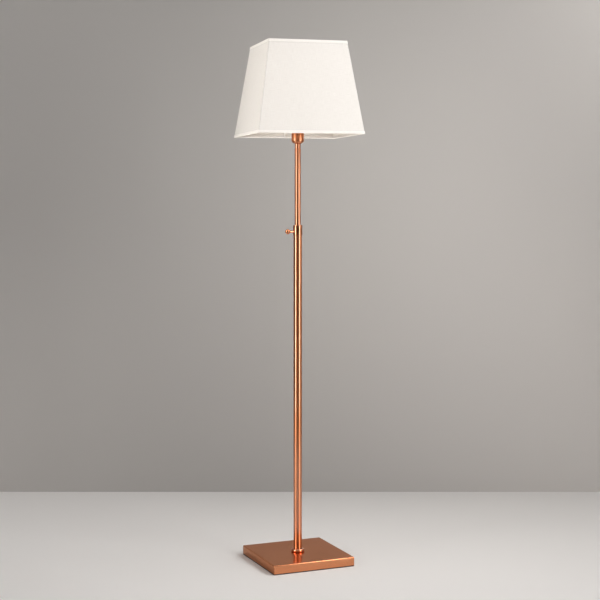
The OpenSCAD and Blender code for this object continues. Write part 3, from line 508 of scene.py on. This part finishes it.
# ---- cord inlet and base wiring ----
# A moulded rubber grommet is pressed into the rear wall, where the mains cord would enter. Behind it
# stand a three-pole terminal block, the earth tag on its screw, and the lead's stripped cores.
grommet_low, grommet_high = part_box("cord_grommet")
GROMMET_BORE = 3.75 * MM
GROMMET_NECK = 5.95 * MM
grommet_flange = grommet_high.x
flange_out = grommet_high.y - cover_half
flange_in = grommet_low.y - cover_half
grommet_outline = rounded([
    (GROMMET_BORE, flange_out, 0.9 * MM), (grommet_flange, flange_out, 0.9 * MM),
    (grommet_flange, 0, 0.2 * MM), (GROMMET_NECK, 0), (GROMMET_NECK, -COVER_SHEET),
    (grommet_flange, -COVER_SHEET, 0.2 * MM),
    (grommet_flange, flange_in, 0.8 * MM), (GROMMET_BORE, flange_in, 0.9 * MM)])
in_rear_wall = Matrix.Translation((0, cover_half, (grommet_low.z + grommet_high.z) / 2))
towards_rear = in_rear_wall @ Matrix.Rotation(-math.pi / 2, 4, "X")
lathe("cord_grommet_ring", grommet_outline, 64, rubber, "stand", ["cord_grommet"], "rubber_black",
      place=towards_rear)

white_moulding = grained("white_moulding", (0.80, 0.79, 0.75), (0.72, 0.71, 0.67), 0.42, size=1100.0,
                         depth=0.02)
brass = ground_metal("turned_brass", (300, 300, 300), (0.72, 0.52, 0.22), (0.60, 0.41, 0.16), (0.2, 0.34))
insulation = grained("core_insulation", (0.12, 0.17, 0.32), (0.09, 0.13, 0.26), 0.4, size=600.0, depth=0.01)
earth_insulation = grained("earth_insulation", (0.28, 0.42, 0.05), (0.22, 0.34, 0.04), 0.4, size=600.0,
                           depth=0.01)
sheath = grained("lead_sheath", (0.70, 0.69, 0.65), (0.62, 0.61, 0.57), 0.45, size=700.0, depth=0.02)
dress(white_moulding, "terminal_block")
dress(brass, "terminal_screws", "earth_tag")
dress(zinc, "block_screw", "earth_screw")
dress(earth_insulation, "earth_wire")
dress(insulation, "base_cores")
dress(sheath, "lead_lower")


# ---- pole foot and outer tube ----
# A turned half-round bead covers the joint of tube and base. A steel plug in the tube is drawn down
# on the cover by a hollow stem, a broad washer, a toothed washer and a nut under the ballast.
dress(zinc, "foot_plug", "stem", "stem_washer", "stem_lock_washer", "stem_nut")
BRIGHT_COPPER = (0.76, 0.275, 0.115)
DULL_COPPER = (0.71, 0.25, 0.10)
FACETS = 128
ROUND_THE_AXIS = (60, 60, 2400)
turned_copper = ground_metal("copper_turned", ROUND_THE_AXIS, BRIGHT_COPPER, DULL_COPPER, (0.27, 0.31),
                             lacquer=1.0, round_grind=0.7, marks_depth=0.002)
drawn_copper = ground_metal("copper_drawn", ROUND_THE_AXIS, BRIGHT_COPPER, DULL_COPPER, (0.36, 0.40),
                            lacquer=1.0, round_grind=0.95, marks_depth=0.002)
tube_low, tube_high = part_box("outer_tube")
tube_radius = tube_high.x
TUBE_WALL = 1 * MM
SLIP = 0.05 * MM
bead_low, bead_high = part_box("foot_bead")
bead_half = (bead_high.z - bead_low.z) / 2
bead_outline = rounded([
    (tube_radius + SLIP, bead_low.z), (bead_high.x, bead_low.z, bead_half * 0.999),
    (bead_high.x, bead_high.z, bead_half * 0.999), (tube_radius + SLIP, bead_high.z, 0.5 * MM)], 12)
lathe("foot_bead_ring", bead_outline, FACETS, turned_copper, "stand", ["foot_bead"], "copper_satin")


def tube_outline(radius, low, high):
    """A tube's wall with its ends lightly broken, as a closed outline."""
    bore = radius - TUBE_WALL
    return rounded([(bore, low), (radius, low, 0.25 * MM), (radius, high, 0.25 * MM), (bore, high)], 3)


lathe("outer_tube_drawn", tube_outline(tube_radius, tube_low.z, tube_high.z), FACETS, drawn_copper, "stand",
      ["outer_tube"], "copper_satin")


# ---- collar ----
# Turned from bar and pressed into the tube by its spigot: a fine groove marks the joint, the edges
# are chamfered, and a tapped hole at the side takes the clamp screw. Nylon bushes guide the inner tube.
collar_low, collar_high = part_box("collar")
COLLAR_GROOVE = 0.6 * MM
COLLAR_GROOVE_HEIGHT = 1.2 * MM
COLLAR_CHAMFER = 0.8 * MM
collar_radius = collar_high.x
collar_bore = 10.3 * MM
spigot_radius = tube_radius - TUBE_WALL - SLIP
neck_of_collar = collar_radius - COLLAR_GROOVE
groove_top = tube_high.z + COLLAR_GROOVE_HEIGHT
chamfer_foot = collar_high.z - COLLAR_CHAMFER
collar_outline = rounded([
    (collar_bore, collar_low.z), (spigot_radius, collar_low.z), (spigot_radius, tube_high.z),
    (neck_of_collar, tube_high.z, 0.15 * MM), (neck_of_collar, groove_top, 0.2 * MM),
    (collar_radius, groove_top + COLLAR_GROOVE, 0.4 * MM), (collar_radius, chamfer_foot, 0.25 * MM),
    (collar_radius - COLLAR_CHAMFER, collar_high.z, 0.25 * MM),
    (collar_bore + COLLAR_CHAMFER, collar_high.z, 0.2 * MM), (collar_bore, chamfer_foot, 0.2 * MM)], 4)
collar = lathe("collar_turned", collar_outline, FACETS, turned_copper, "stand", ["collar"], "copper_satin")

pad_low, pad_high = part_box("clamp_pad")
clamp_height = (pad_low.z + pad_high.z) / 2
CLAMP_HOLE = 3 * MM
outwards = Matrix.Translation((0, 0, clamp_height)) @ Matrix.Rotation(-math.pi / 2, 4, "Y")
DRILL_LENGTH = 30 * MM
drill_outline = [(0, 0), (CLAMP_HOLE, 0), (CLAMP_HOLE, DRILL_LENGTH), (0, DRILL_LENGTH)]
cut_away(collar, lathe("drill", drill_outline, 48, turned_copper, None, place=outwards))
nylon = grained("natural_nylon", (0.80, 0.77, 0.68), (0.74, 0.70, 0.60), 0.45, size=900.0, depth=0.02)
dress(nylon, "guide_bush", "slide_bush", "clamp_pad")


# ---- clamp screw and ball knob ----
# A zinc plated M6 stud presses the nylon pad on the inner tube. Its turned copper knob is a ball on
# a short neck with a small flare between them.
def threaded(radius, depth, pitch, low, high, count=48):
    """Rings whose radius follows a right-hand thread from low to high, six to each pitch."""
    rings = []
    total = round((high - low) / pitch * 6)
    for i in range(total + 1):
        z = low + (high - low) * i / total
        fade = min(1, 2 * (z - low) / pitch, 2 * (high - z) / pitch)
        def at(a, z=z, fade=fade):
            phase = (z / pitch - a / math.tau) % 1
            return radius - depth * fade * abs(2 * phase - 1)
        rings.append(ring(at, z, count))
    return rings


stud_low, stud_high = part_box("clamp_screw")
stud_radius = stud_high.y
stud_rings = [ring(0, -stud_high.x), *threaded(stud_radius, 0.55 * MM, 1 * MM, -stud_high.x, 22 * MM),
              ring(stud_radius, 22.2 * MM, 48), ring(stud_radius, -stud_low.x, 48), ring(0, -stud_low.x)]
loft("clamp_stud", stud_rings, zinc, "screw", ["clamp_screw"], "zinc_plate", place=outwards, sharp=50)

knob_low, knob_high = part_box("clamp_knob")
ball_radius = knob_high.y
ball_centre = -knob_low.x - ball_radius
KNOB_NECK = 3.8 * MM
KNOB_FLARE = 4.6 * MM
neck_end = ball_centre - ball_radius
flare_angle = math.asin(KNOB_FLARE / ball_radius)
ball = [(ball_radius * math.sin(t), ball_centre - ball_radius * math.cos(t))
        for t in [flare_angle + (math.pi - flare_angle) * k / 28 for k in range(28)]]
socket_end = ball_centre - 4 * MM
knob_outline = rounded([
    (stud_radius + SLIP, socket_end), (stud_radius + SLIP, -knob_high.x), (KNOB_NECK, -knob_high.x, 0.4 * MM),
    (KNOB_NECK, neck_end - 1.2 * MM, 0.8 * MM), (KNOB_FLARE, neck_end - 0.3 * MM, 0.3 * MM),
    (KNOB_FLARE, neck_end + 0.6 * MM), *ball], 4)
knob_copper = ground_metal("copper_knob", (900, 900, 900), BRIGHT_COPPER, DULL_COPPER, (0.15, 0.2),
                           lacquer=0.6, marks_depth=0.004)
lathe("ball_knob", [(0, socket_end), *knob_outline, (0, -knob_low.x)], 64, knob_copper, "screw",
      ["clamp_knob"], "copper_satin", place=outwards)


# ---- inner tube and neck ----
# The drawn inner tube slides and turns in the nylon bushes, held in by a brass stop ring and a spring
# ring. Its top is closed by a turned neck of two shallow beads, through which a nipple holds the lampholder.
inner_low, inner_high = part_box("inner_tube")
inner_radius = inner_high.x
lathe("inner_tube_drawn", tube_outline(inner_radius, inner_low.z, inner_high.z), FACETS, drawn_copper, "mast",
      ["inner_tube"], "copper_satin")
dress(brass, "stop_ring", "nipple_nut", "holder_screws", "centre_contact", "screw_shell")
dress(zinc, "retaining_ring", "holder_nipple")
dress(sheath, "lead_upper")
dress(insulation, "holder_cores")

neck_low, neck_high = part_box("neck")
neck_radius = neck_high.x
NECK_BORE = 5 * MM
NECK_GROOVE = 0.7 * MM
NECK_LINE = 1 * MM
neck_foot = inner_high.z
neck_middle = (neck_foot + neck_high.z) / 2
groove_radius = neck_radius - NECK_GROOVE
neck_spigot = inner_radius - TUBE_WALL - SLIP
neck_points = [(NECK_BORE, neck_low.z), (neck_spigot, neck_low.z), (neck_spigot, neck_foot),
               (groove_radius, neck_foot)]
for bead_foot, bead_top, edge in ((neck_foot + NECK_LINE, neck_middle - NECK_LINE / 2, 0.2 * MM),
                                  (neck_middle + NECK_LINE / 2, neck_high.z, 0)):
    neck_points += [(groove_radius, bead_foot, 0.2 * MM), (neck_radius, bead_foot + NECK_GROOVE, 0.5 * MM),
                    (neck_radius, bead_top - NECK_GROOVE, 0.5 * MM), (groove_radius, bead_top, edge)]
neck_outline = rounded([*neck_points, (NECK_BORE, neck_high.z)], 4)
lathe("neck_turned", neck_outline, FACETS, turned_copper, "mast", ["neck"], "copper_satin")


# ---- lampholder ----
# A drawn copper cup screws on a threaded sleeve, and two knurled ring nuts on the sleeve grip the
# shade's spider. Inside sit the ceramic insert with its brass shell, contact and terminal screws.
cup_low, cup_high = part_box("holder_cup")
cup_radius = cup_high.x
CUP_SHEET = 0.8 * MM
CUP_ROUND = 11 * MM
cup_bore = cup_radius - CUP_SHEET
cup_outline = rounded([
    (NECK_BORE + SLIP, cup_low.z), (cup_radius, cup_low.z, CUP_ROUND), (cup_radius, cup_high.z, 0.3 * MM),
    (cup_bore, cup_high.z, 0.2 * MM), (cup_bore, cup_low.z + CUP_SHEET, CUP_ROUND - CUP_SHEET),
    (NECK_BORE + SLIP, cup_low.z + CUP_SHEET)], 12)
cup_copper = ground_metal("copper_spun", ROUND_THE_AXIS, BRIGHT_COPPER, DULL_COPPER, (0.34, 0.40),
                          lacquer=0.6, marks_depth=0.01)
lathe("holder_cup_drawn", cup_outline, FACETS, cup_copper, "mast", ["holder_cup"], "copper_satin")

sleeve_low, sleeve_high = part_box("holder_sleeve")
BAND_RADIUS = cup_radius - 0.15 * MM
THREAD_RADIUS = cup_radius - 0.45 * MM
SLEEVE_BORE = THREAD_RADIUS - 1.4 * MM
BAND_TOP = cup_high.z + 7 * MM
tongue_radius = cup_bore - SLIP
dark_copper = ground_metal("copper_holder", ROUND_THE_AXIS, (0.62, 0.24, 0.11), (0.50, 0.17, 0.075),
                           (0.26, 0.38))
sleeve_rings = [ring(r, z, FACETS) for r, z in rounded([
    (SLEEVE_BORE, sleeve_low.z), (tongue_radius, sleeve_low.z), (tongue_radius, cup_high.z + 0.1 * MM),
    (BAND_RADIUS, cup_high.z + 0.1 * MM, 0.3 * MM), (BAND_RADIUS, BAND_TOP, 0.4 * MM),
    (THREAD_RADIUS - 0.6 * MM, BAND_TOP)])]
sleeve_rings += threaded(
    THREAD_RADIUS, 0.6 * MM, 2 * MM, BAND_TOP + 0.4 * MM, sleeve_high.z - 0.6 * MM, FACETS)
sleeve_rings += [ring(r, sleeve_high.z, FACETS) for r in (THREAD_RADIUS - 0.7 * MM, SLEEVE_BORE)]
loft("holder_sleeve_threaded", sleeve_rings, dark_copper, "mast", ["holder_sleeve"], "copper_satin",
     loop=True, sharp=50)

SCALLOPS = 24
SCALLOP_DEPTH = 0.9 * MM
for name in ("shade_ring_lower", "shade_ring_upper"):
    nut_low, nut_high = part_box(name)
    nut_bore = THREAD_RADIUS + SLIP
    nut_outline = rounded([(nut_bore, nut_low.z, 0.2 * MM), (nut_high.x, nut_low.z, 0.9 * MM),
                           (nut_high.x, nut_high.z, 0.9 * MM), (nut_bore, nut_high.z, 0.2 * MM)], 4)
    nut_rings = []
    for r, z in nut_outline:
        reach = SCALLOP_DEPTH * (r > nut_high.x - 1.2 * MM)
        knurled = lambda a: r - reach * abs(math.cos(SCALLOPS / 2 * a)) ** 6
        nut_rings.append(ring(knurled, z, 8 * SCALLOPS))
    loft(name + "_knurled", nut_rings, dark_copper, "mast", [name], "copper_satin", loop=True)
ceramic = grained("white_ceramic", (0.80, 0.79, 0.75), (0.74, 0.72, 0.67), 0.5, size=1600.0, depth=0.03)
dress(ceramic, "ceramic_insert")


# ---- bulb ----
# An opal glass globe on a screw cap of zinc plated sheet with a rolled thread, closed below by a
# ring of black glass and a soldered contact. It isn't lit.
solder_low, solder_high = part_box("bulb_contact")
solder_outline = rounded([(0, solder_low.z), (3.2 * MM, solder_low.z, 0.9 * MM),
                          (solder_high.x, solder_high.z, 0.2 * MM), (0, solder_high.z)], 5)
lathe("bulb_solder_contact", solder_outline, 48, zinc, "mast", ["bulb_contact"], "zinc_plate")
black_glass = surface("black_glass", (0.01, 0.01, 0.012), 0.08, Coat_Weight=0.4)[0]
black_low, black_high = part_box("bulb_insulator")
black_outline = rounded([(0, black_low.z), (5.5 * MM, black_low.z, 0.4 * MM),
                         (black_high.x, black_high.z, 0.3 * MM), (0, black_high.z)], 4)
lathe("bulb_black_glass", black_outline, 64, black_glass, "mast", ["bulb_insulator"], "black_glass")

cap_low, cap_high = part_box("bulb_cap")
CAP_PITCH = 3.6 * MM
CAP_DEPTH = 0.55 * MM
CAP_WALL = 0.5 * MM
CAP_NARROW = 1.7 * MM
CAP_STEPS = 48
cap_radius = cap_high.x
cap_bore = cap_radius - CAP_WALL
thread_low = cap_low.z + 1.2 * MM
thread_high = cap_low.z + 12.2 * MM
shoulder = thread_high + 1.6 * MM
cap_rings = [ring(0, cap_low.z), ring(cap_radius - 1.8 * MM, cap_low.z),
             ring(cap_radius - 1.1 * MM, cap_low.z + CAP_WALL)]
for i in range(CAP_STEPS + 1):
    z = thread_low + (thread_high - thread_low) * i / CAP_STEPS
    rolled = lambda a: cap_radius - CAP_DEPTH * (1 + math.cos(math.tau * (z / CAP_PITCH) - a))
    cap_rings.append(ring(rolled, z))
cap_rings += [ring(r, z) for r, z in rounded([
    (cap_bore, thread_high + 0.6 * MM), (cap_radius, shoulder, 0.5 * MM), (cap_radius, cap_high.z),
    (cap_bore, cap_high.z), (cap_bore, shoulder), (cap_radius - CAP_NARROW, thread_high)])]
cap_rings += [ring(cap_radius - CAP_NARROW, cap_low.z + CAP_WALL), ring(0, cap_low.z + CAP_WALL)]
loft("bulb_screw_cap", cap_rings, zinc, "mast", ["bulb_cap"], "zinc_plate", sharp=50)

glass_low, glass_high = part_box("bulb_glass")
globe_radius = glass_high.x
globe_centre = glass_high.z - globe_radius
GLASS = 1 * MM
GLASS_NECK = 14.5 * MM
NECK_TURN = math.radians(122)


def glass_skin(inset):
    """The globe's outline from its stub in the cap to its top, drawn in by inset."""
    r = globe_radius - inset
    touch = Vector((r * math.sin(NECK_TURN), globe_centre + r * math.cos(NECK_TURN)))
    foot = Vector((GLASS_NECK - inset, cap_high.z + 0.4 * MM))
    lean = Vector((math.cos(NECK_TURN), -math.sin(NECK_TURN)))
    skin = [Vector((cap_bore - SLIP - inset, z)) for z in (glass_low.z, cap_high.z - 0.2 * MM)]
    for k in range(15):
        t = k / 14
        pull = (foot, foot + Vector((0, 14 * MM)), touch + lean * 16 * MM, touch)
        weights = ((1 - t) ** 3, 3 * t * (1 - t) ** 2, 3 * t * t * (1 - t), t ** 3)
        skin.append(sum((w * p for w, p in zip(weights, pull)), Vector((0, 0))))
    for k in range(1, 30):
        a = NECK_TURN * (1 - k / 30)
        skin.append(Vector((r * math.sin(a), globe_centre + r * math.cos(a))))
    return skin


opal, opal_tree, opal_shader = surface("opal_glass", (0.90, 0.885, 0.85), 0.22, IOR=1.5, Coat_Weight=0.25,
                                       Coat_Roughness=0.08, Transmission_Weight=0.12)
cloud = noise(opal_tree, add(opal_tree, "TexCoord").outputs["Object"], 30.0, 3.0)
milk = blend_colours(opal_tree, cloud, (0.91, 0.90, 0.87), (0.87, 0.855, 0.82))
feed(opal_tree, opal_shader, {"Base Color": milk})
globe_outline = [*glass_skin(0), (0, glass_high.z), (0, glass_high.z - GLASS), *reversed(glass_skin(GLASS))]
lathe("bulb_globe", globe_outline, 96, opal, "mast", ["bulb_glass"], "opal_glass")


# ---- shade ----
# Four flat panels of fine linen on a stiff white backing meet at the corners. Each edge is bound with
# a tape of the same linen, folded round a wire and tucked up inside.
SHADE_HEIGHT = 291.6 * MM
SHADE_LOW = 344.5 * MM
SHADE_TOP = 254 * MM
SHADE_TURN = math.radians(-7.9)
TAPE = 0.5 * MM
TAPE_WIDTH = 9 * MM
PANEL = 0.8 * MM
CLOTH = 0.3 * MM
CORNER = 1.4 * MM
LINING_CORNER = 2.4 * MM
THREAD = 0.5 * MM
shade_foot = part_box("edge_tape_bottom")[0].z
on_shade = Matrix.Translation((0, 0, shade_foot)) @ Matrix.Rotation(SHADE_TURN, 4, "Z")


def weave():
    """Plain weave of slubby threads over the cloth's own measure; Thread is from one to the next."""
    tree, given, out = group("plain weave", {"Thread": ("Float", THREAD)}, ("Height", "Tone"))
    place = add(tree, "TexCoord").outputs["UV"]

    def sums(operation, *values):
        return maths(tree, operation, *values)

    def flat_noise(run, scale):
        return noise(tree, run, scale, 2.0, noise_dimensions="2D")

    sway = sums("MULTIPLY", sums("SUBTRACT", flat_noise(place, 55.0), 0.5), 1.2)
    axes = add(tree, "SeparateXYZ", {0: place}).outputs
    counts = [sums("ADD", sums("DIVIDE", axes[axis], given["Thread"]), sway) for axis in "XY"]
    threads = []
    for mine, other in (counts, counts[::-1]):
        inside = sums("SUBTRACT", sums("FRACT", mine), 0.5)
        arch = sums("SUBTRACT", 1.0, sums("MULTIPLY", 3.2, sums("MULTIPLY", inside, inside)))
        over = sums("ADD", sums("FLOOR", mine), float(len(threads)))
        turn = sums("MULTIPLY", math.pi, sums("ADD", other, over))
        threads.append(sums("ADD", arch, sums("MULTIPLY", 0.45, sums("SINE", turn))))
    height = sums("MAXIMUM", *threads)
    tree.links.new(height, out["Height"])
    slubs = [flat_noise(add(tree, "VectorMath", {0: place, 1: stretch}, operation="MULTIPLY").outputs[0], 1.0)
             for stretch in ((1800, 45, 1), (45, 1800, 1))]
    tone = sums("ADD", sums("MULTIPLY", 0.5, sums("ADD", *slubs)), sums("MULTIPLY", 0.12, height))
    tree.links.new(tone, out["Tone"])
    return tree


WEAVE = weave()


def linen(name, light, dark):
    material, tree, shader = surface(name, light, 0.85)
    woven = add(tree, "Group", {"Thread": THREAD}, node_tree=WEAVE).outputs
    colour = blend_colours(tree, spread(tree, woven["Tone"], 0, 1, 0.4, 0.8), dark, light)
    feed(tree, shader, {"Base Color": colour, "Roughness": spread(tree, woven["Tone"], 0.92, 0.8, 0.4, 0.8)})
    bump(tree, shader, woven["Height"], 0.6, 0.12 * MM)
    return material


def panel_face(h):
    """How far a panel's outer face is from the shade's axis at height h."""
    return SHADE_LOW / 2 - TAPE - (SHADE_LOW - SHADE_TOP) / 2 / SHADE_HEIGHT * h


def paint_seam_and_tape_shade(material):
    """Paints shade by the corner seams and along the tapes, where the cloth's tucked edges cast it."""
    tree = material.node_tree
    shader = tree.nodes["Principled BSDF"]
    place = add(tree, "SeparateXYZ", {0: add(tree, "TexCoord").outputs["UV"]}).outputs
    lean = (panel_face(SHADE_HEIGHT) - panel_face(0)) / SHADE_HEIGHT
    half_width = maths(tree, "MULTIPLY_ADD", place["Y"], lean, panel_face(0))
    to_seam = maths(tree, "SUBTRACT", half_width, maths(tree, "ABSOLUTE", place["X"]))
    from_middle = maths(tree, "ABSOLUTE", maths(tree, "SUBTRACT", place["Y"], SHADE_HEIGHT / 2))
    to_tape = maths(tree, "SUBTRACT", SHADE_HEIGHT / 2 - TAPE_WIDTH, from_middle)
    seam_shadow = spread(tree, to_seam, SEAM_PAINTED_SHADE, 1.0, 1.5 * MM, 4 * MM)
    tape_shadow = spread(tree, to_tape, TAPE_PAINTED_SHADE, 1.0, 0.5 * MM, 3 * MM)
    cloth_colour = shader.inputs["Base Color"].links[0].from_socket
    tint(tree, shader, cloth_colour, maths(tree, "MULTIPLY", seam_shadow, tape_shadow))


# Painted shade: at the corner seams and by the tapes, the cloth's colour falls to these shares.
SEAM_PAINTED_SHADE = 0.72
TAPE_PAINTED_SHADE = 0.90
shade_linen = linen("shade_linen", (0.71, 0.682, 0.656), (0.62, 0.59, 0.562))
paint_seam_and_tape_shade(shade_linen)
tape_linen = linen("tape_linen", (0.77, 0.739, 0.711), (0.70, 0.668, 0.638))
backing = grained("shade_backing", (0.90, 0.86, 0.81), (0.87, 0.83, 0.78), 0.55, size=1500.0, depth=0.01)


def panel_skin(name, quarter, outer, inner, corner, turned, material, replaces):
    """One side's layer between two depths below its face, its edges turned in by so many degrees."""
    bm = bmesh.new()
    layer = bm.loops.layers.uv.new("metres")
    columns = [-turned, -turned * 2 / 3, -turned / 3, 0, 0, turned / 3, turned * 2 / 3, turned]
    short = corner * (math.sin(math.radians(turned)) - math.cos(math.radians(turned)))
    heights = [TAPE + (SHADE_HEIGHT - 2 * TAPE) * k / 12 for k in range(13)]
    turn = on_shade @ quarter_turn(quarter)
    skins = []
    for depth in (outer, inner):
        skin = []
        for h in heights:
            row = []
            for k, degrees in enumerate(columns):
                t = math.radians(degrees)
                side = 1 if k > 3 else -1
                middle = panel_face(h) - corner
                y = side * (middle - short)
                reach = corner - depth
                point = Vector((middle + reach * math.cos(t), y + reach * math.sin(t), h))
                row.append((bm.verts.new(turn @ point), (y + corner * t, h)))
            skin.append(row)
        skins.append(skin)
    front, back = skins
    strips = [rows for skin in skins for rows in zip(skin, skin[1:])]
    strips += [(front[end], back[end]) for end in (0, -1)]
    strips += [([row[end] for row in front], [row[end] for row in back]) for end in (0, -1)]
    for a, b in strips:
        for quad in zip(a, a[1:], b[1:], b):
            face = bm.faces.new([vert for vert, _ in quad])
            for loop, (_, place_on_cloth) in zip(face.loops, quad):
                loop[layer].uv = place_on_cloth
    return settle(name, bm, material, "mast", [replaces], "shade_fabric", 50)


SEAM = 0.02 * MM
for quarter, side in enumerate(("right", "rear", "left", "front")):
    cloth = panel_skin("shade_cloth_" + side, quarter, 0, CLOTH, CORNER, 78, shade_linen,
                       "shade_panel_" + side)
    panel_skin("shade_lining_" + side, quarter, CLOTH + SEAM, PANEL, LINING_CORNER, 45, backing,
               "shade_panel_" + side)


WIRE = 1.5 * MM
GAP = 0.05 * MM
WIRE_BEND = 5 * MM
TUCK = 4.175 * MM
POCKET = 3.1 * MM


def edge_tape(name, at):
    """Tape down the outside, round under the edge and its wire, and up the inside; at mirrors the heights."""
    def spot(h, off, bend=0):
        return panel_face(at(h)) + off, at(h), bend

    profile = rounded([
        spot(0, TAPE, 0.45 * MM), spot(TAPE_WIDTH, TAPE, 0.2 * MM), spot(TAPE_WIDTH, SEAM),
        spot(TAPE, SEAM), spot(TAPE, -PANEL - TUCK, 0.6 * MM), spot(POCKET, -PANEL - TUCK, 0.9 * MM),
        spot(TAPE_WIDTH - TAPE, -PANEL - SEAM), spot(TAPE_WIDTH, -PANEL - SEAM),
        (panel_face(at(POCKET)) - PANEL - TUCK - TAPE, at(POCKET + TAPE), 1.4 * MM),
        spot(0, -PANEL - TUCK - TAPE, 1.0 * MM)], 5)
    rings = [square_ring(half, max(CORNER + half - panel_face(h), LEAST_CORNER), h, 4) for half, h in profile]
    return loft("shade_tape_" + name, rings, tape_linen, "mast", ["edge_tape_" + name], "shade_fabric",
                loop=True, place=on_shade)


tapes = {"bottom": edge_tape("bottom", lambda h: h),
         "top": edge_tape("top", lambda h: SHADE_HEIGHT - h)}
LEG_SLOT = 3.6 * MM
lining_foot = panel_face(0) - PANEL
slot_in, slot_out, slot_side = lining_foot - 10 * MM, lining_foot - GAP, LEG_SLOT / 2
slot_foot, slot_top = TAPE + GAP, TAPE_WIDTH + TAPE
slot_shape = [(slot_in, -slot_side), (slot_out, -slot_side), (slot_out, slot_side), (slot_in, slot_side)]
slot_middle = [((slot_in + slot_out) / 2, 0)]
slot_rings = [[Vector((x, y, z)) for x, y in shape] for shape, z in (
    (slot_middle, slot_foot), (slot_shape, slot_foot), (slot_shape, slot_top), (slot_middle, slot_top))]
for quarter in range(4):
    leg_slot = loft("leg_slot", slot_rings, shade_linen, None, place=on_shade @ quarter_turn(quarter))
    cut_away(tapes["bottom"], leg_slot)


# ---- shade frame ----
# White coated steel: a wire in each edge, and the spider, whose four arms reach from a washer over the
# holder's thread to the sides and go down to the lower wire. The arms are flattened and welded there.
white_coat = grained("white_powder_coat", (0.82, 0.81, 0.79), (0.78, 0.77, 0.745), 0.38, size=1300.0,
                     depth=0.02)


def sweep(name, path, radius, material, body, replaces, slot, loop=False, sides=16):
    """A rod along a path; radius may be a function that gives the width and thickness at a point."""
    path = [Vector(p) for p in path]
    count = len(path)
    rings = []
    across = None
    for k, here in enumerate(path):
        before = path[k - 1] if k or loop else here
        after = path[(k + 1) % count] if k < count - 1 or loop else here
        ahead = (after - before).normalized()
        if across is None:
            across = ahead.orthogonal() if abs(ahead.z) > 0.9 else ahead.cross(Vector((0, 0, 1)))
        across = (across - across.dot(ahead) * ahead).normalized()
        up = ahead.cross(across)
        wide, thin = (radius, radius) if not callable(radius) else radius(k)
        rings.append([here + wide * math.cos(a) * across + thin * math.sin(a) * up
                      for a in [math.tau * j / sides for j in range(sides)]])
    if not loop:
        rings = [[path[0]], *rings, [path[-1]]]
    return loft(name, rings, material, body, replaces, slot, loop=loop, sharp=50)


WIRE_AT = TAPE + GAP + WIRE
for name, h in (("bottom", WIRE_AT), ("top", SHADE_HEIGHT - WIRE_AT)):
    path = square_ring(panel_face(h) - PANEL - WIRE - GAP, WIRE_BEND, h, 8)
    sweep("shade_wire_" + name, [on_shade @ p for p in path], WIRE, white_coat, "mast",
          ["shade_frame_" + name], "shade_wire", loop=True)

ARM = 2 * MM
LEG = 1.4 * MM
ARM_HEIGHT = 22.75 * MM
SPIDER_OUTER = 27 * MM
SPIDER_BORE = 20.3 * MM
SPIDER_SHEET = 0.75 * MM
leg_top = panel_face(ARM_HEIGHT) - PANEL - ARM - 0.5 * MM
leg_foot = panel_face(WIRE_AT) - PANEL - WIRE - GAP - 1 * MM
foot_point = Vector((leg_foot, 0, WIRE_AT))
top_point = Vector((leg_top, 0, ARM_HEIGHT))
ARM_BEND = 5 * MM
down = (foot_point - top_point).normalized()
bend_start = top_point + down * ARM_BEND
bend_end = top_point + Vector((-ARM_BEND, 0, 0))
arm_path = [foot_point, foot_point.lerp(bend_start, 0.5)]
for k in range(7):
    t = k / 6
    arm_path.append((1 - t) ** 2 * bend_start + 2 * t * (1 - t) * top_point + t * t * bend_end)
arm_path += [Vector((x * MM, 0, ARM_HEIGHT)) for x in (60, 38, 35, 32.5, 30.5, 29, 26)]
arm_sizes = [(LEG, LEG)] * 2 + [(LEG + (ARM - LEG) * k / 6,) * 2 for k in range(7)]
arm_sizes += [(ARM, ARM), (ARM, ARM), (2.05 * MM, 1.9 * MM), (2.4 * MM, 1.4 * MM), (2.8 * MM, 0.8 * MM),
              (3 * MM, 0.68 * MM), (3 * MM, 0.68 * MM)]
for quarter in range(4):
    side_place = on_shade @ quarter_turn(quarter)
    sweep(f"spider_arm_{quarter + 1}", [side_place @ p for p in arm_path], arm_sizes.__getitem__, white_coat,
          "mast", ["shade_frame_bottom"], "shade_wire")
washer_low, washer_high = ARM_HEIGHT - SPIDER_SHEET, ARM_HEIGHT + SPIDER_SHEET
washer = rounded([(SPIDER_BORE, washer_low, 0.2 * MM), (SPIDER_OUTER, washer_low, 0.3 * MM),
                  (SPIDER_OUTER, washer_high, 0.3 * MM), (SPIDER_BORE, washer_high, 0.2 * MM)], 3)
lathe("spider_washer", washer, 96, white_coat, "mast", ["shade_frame_bottom"], "shade_wire", place=on_shade)


# ---- lead ----
# A round flexible lead runs from the terminal block under the ballast and up the stem. Its curled
# stretch between base and inner tube takes up the travel, and its straight end goes on to the holder.
LEAD = 2.25 * MM
CURL = 8 * MM
CURLS = 16
CURL_STEPS = 24
CURL_ENDS = 0.06
coil_low = 0.2600
coil_high = 0.8061


def soft_step(x):
    x = max(0, min(1, x))
    return x * x * (3 - 2 * x)


curl_start = coil_low + 2 * LEAD
curl_length = coil_high - 2 * LEAD - curl_start
coil_path = [(0, 0, coil_low)]
for k in range(CURLS * CURL_STEPS + 1):
    share = k / (CURLS * CURL_STEPS)
    reach = CURL * soft_step(share / CURL_ENDS) * soft_step((1 - share) / CURL_ENDS)
    a = math.tau * CURLS * share
    coil_path.append((reach * math.cos(a), reach * math.sin(a), curl_start + curl_length * share))
coil_path.append((0, 0, coil_high))
coil = sweep("lead_curls", coil_path, LEAD, sheath, None, ["lead_coil"], "lead_sheath", sides=12)
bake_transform(coil)
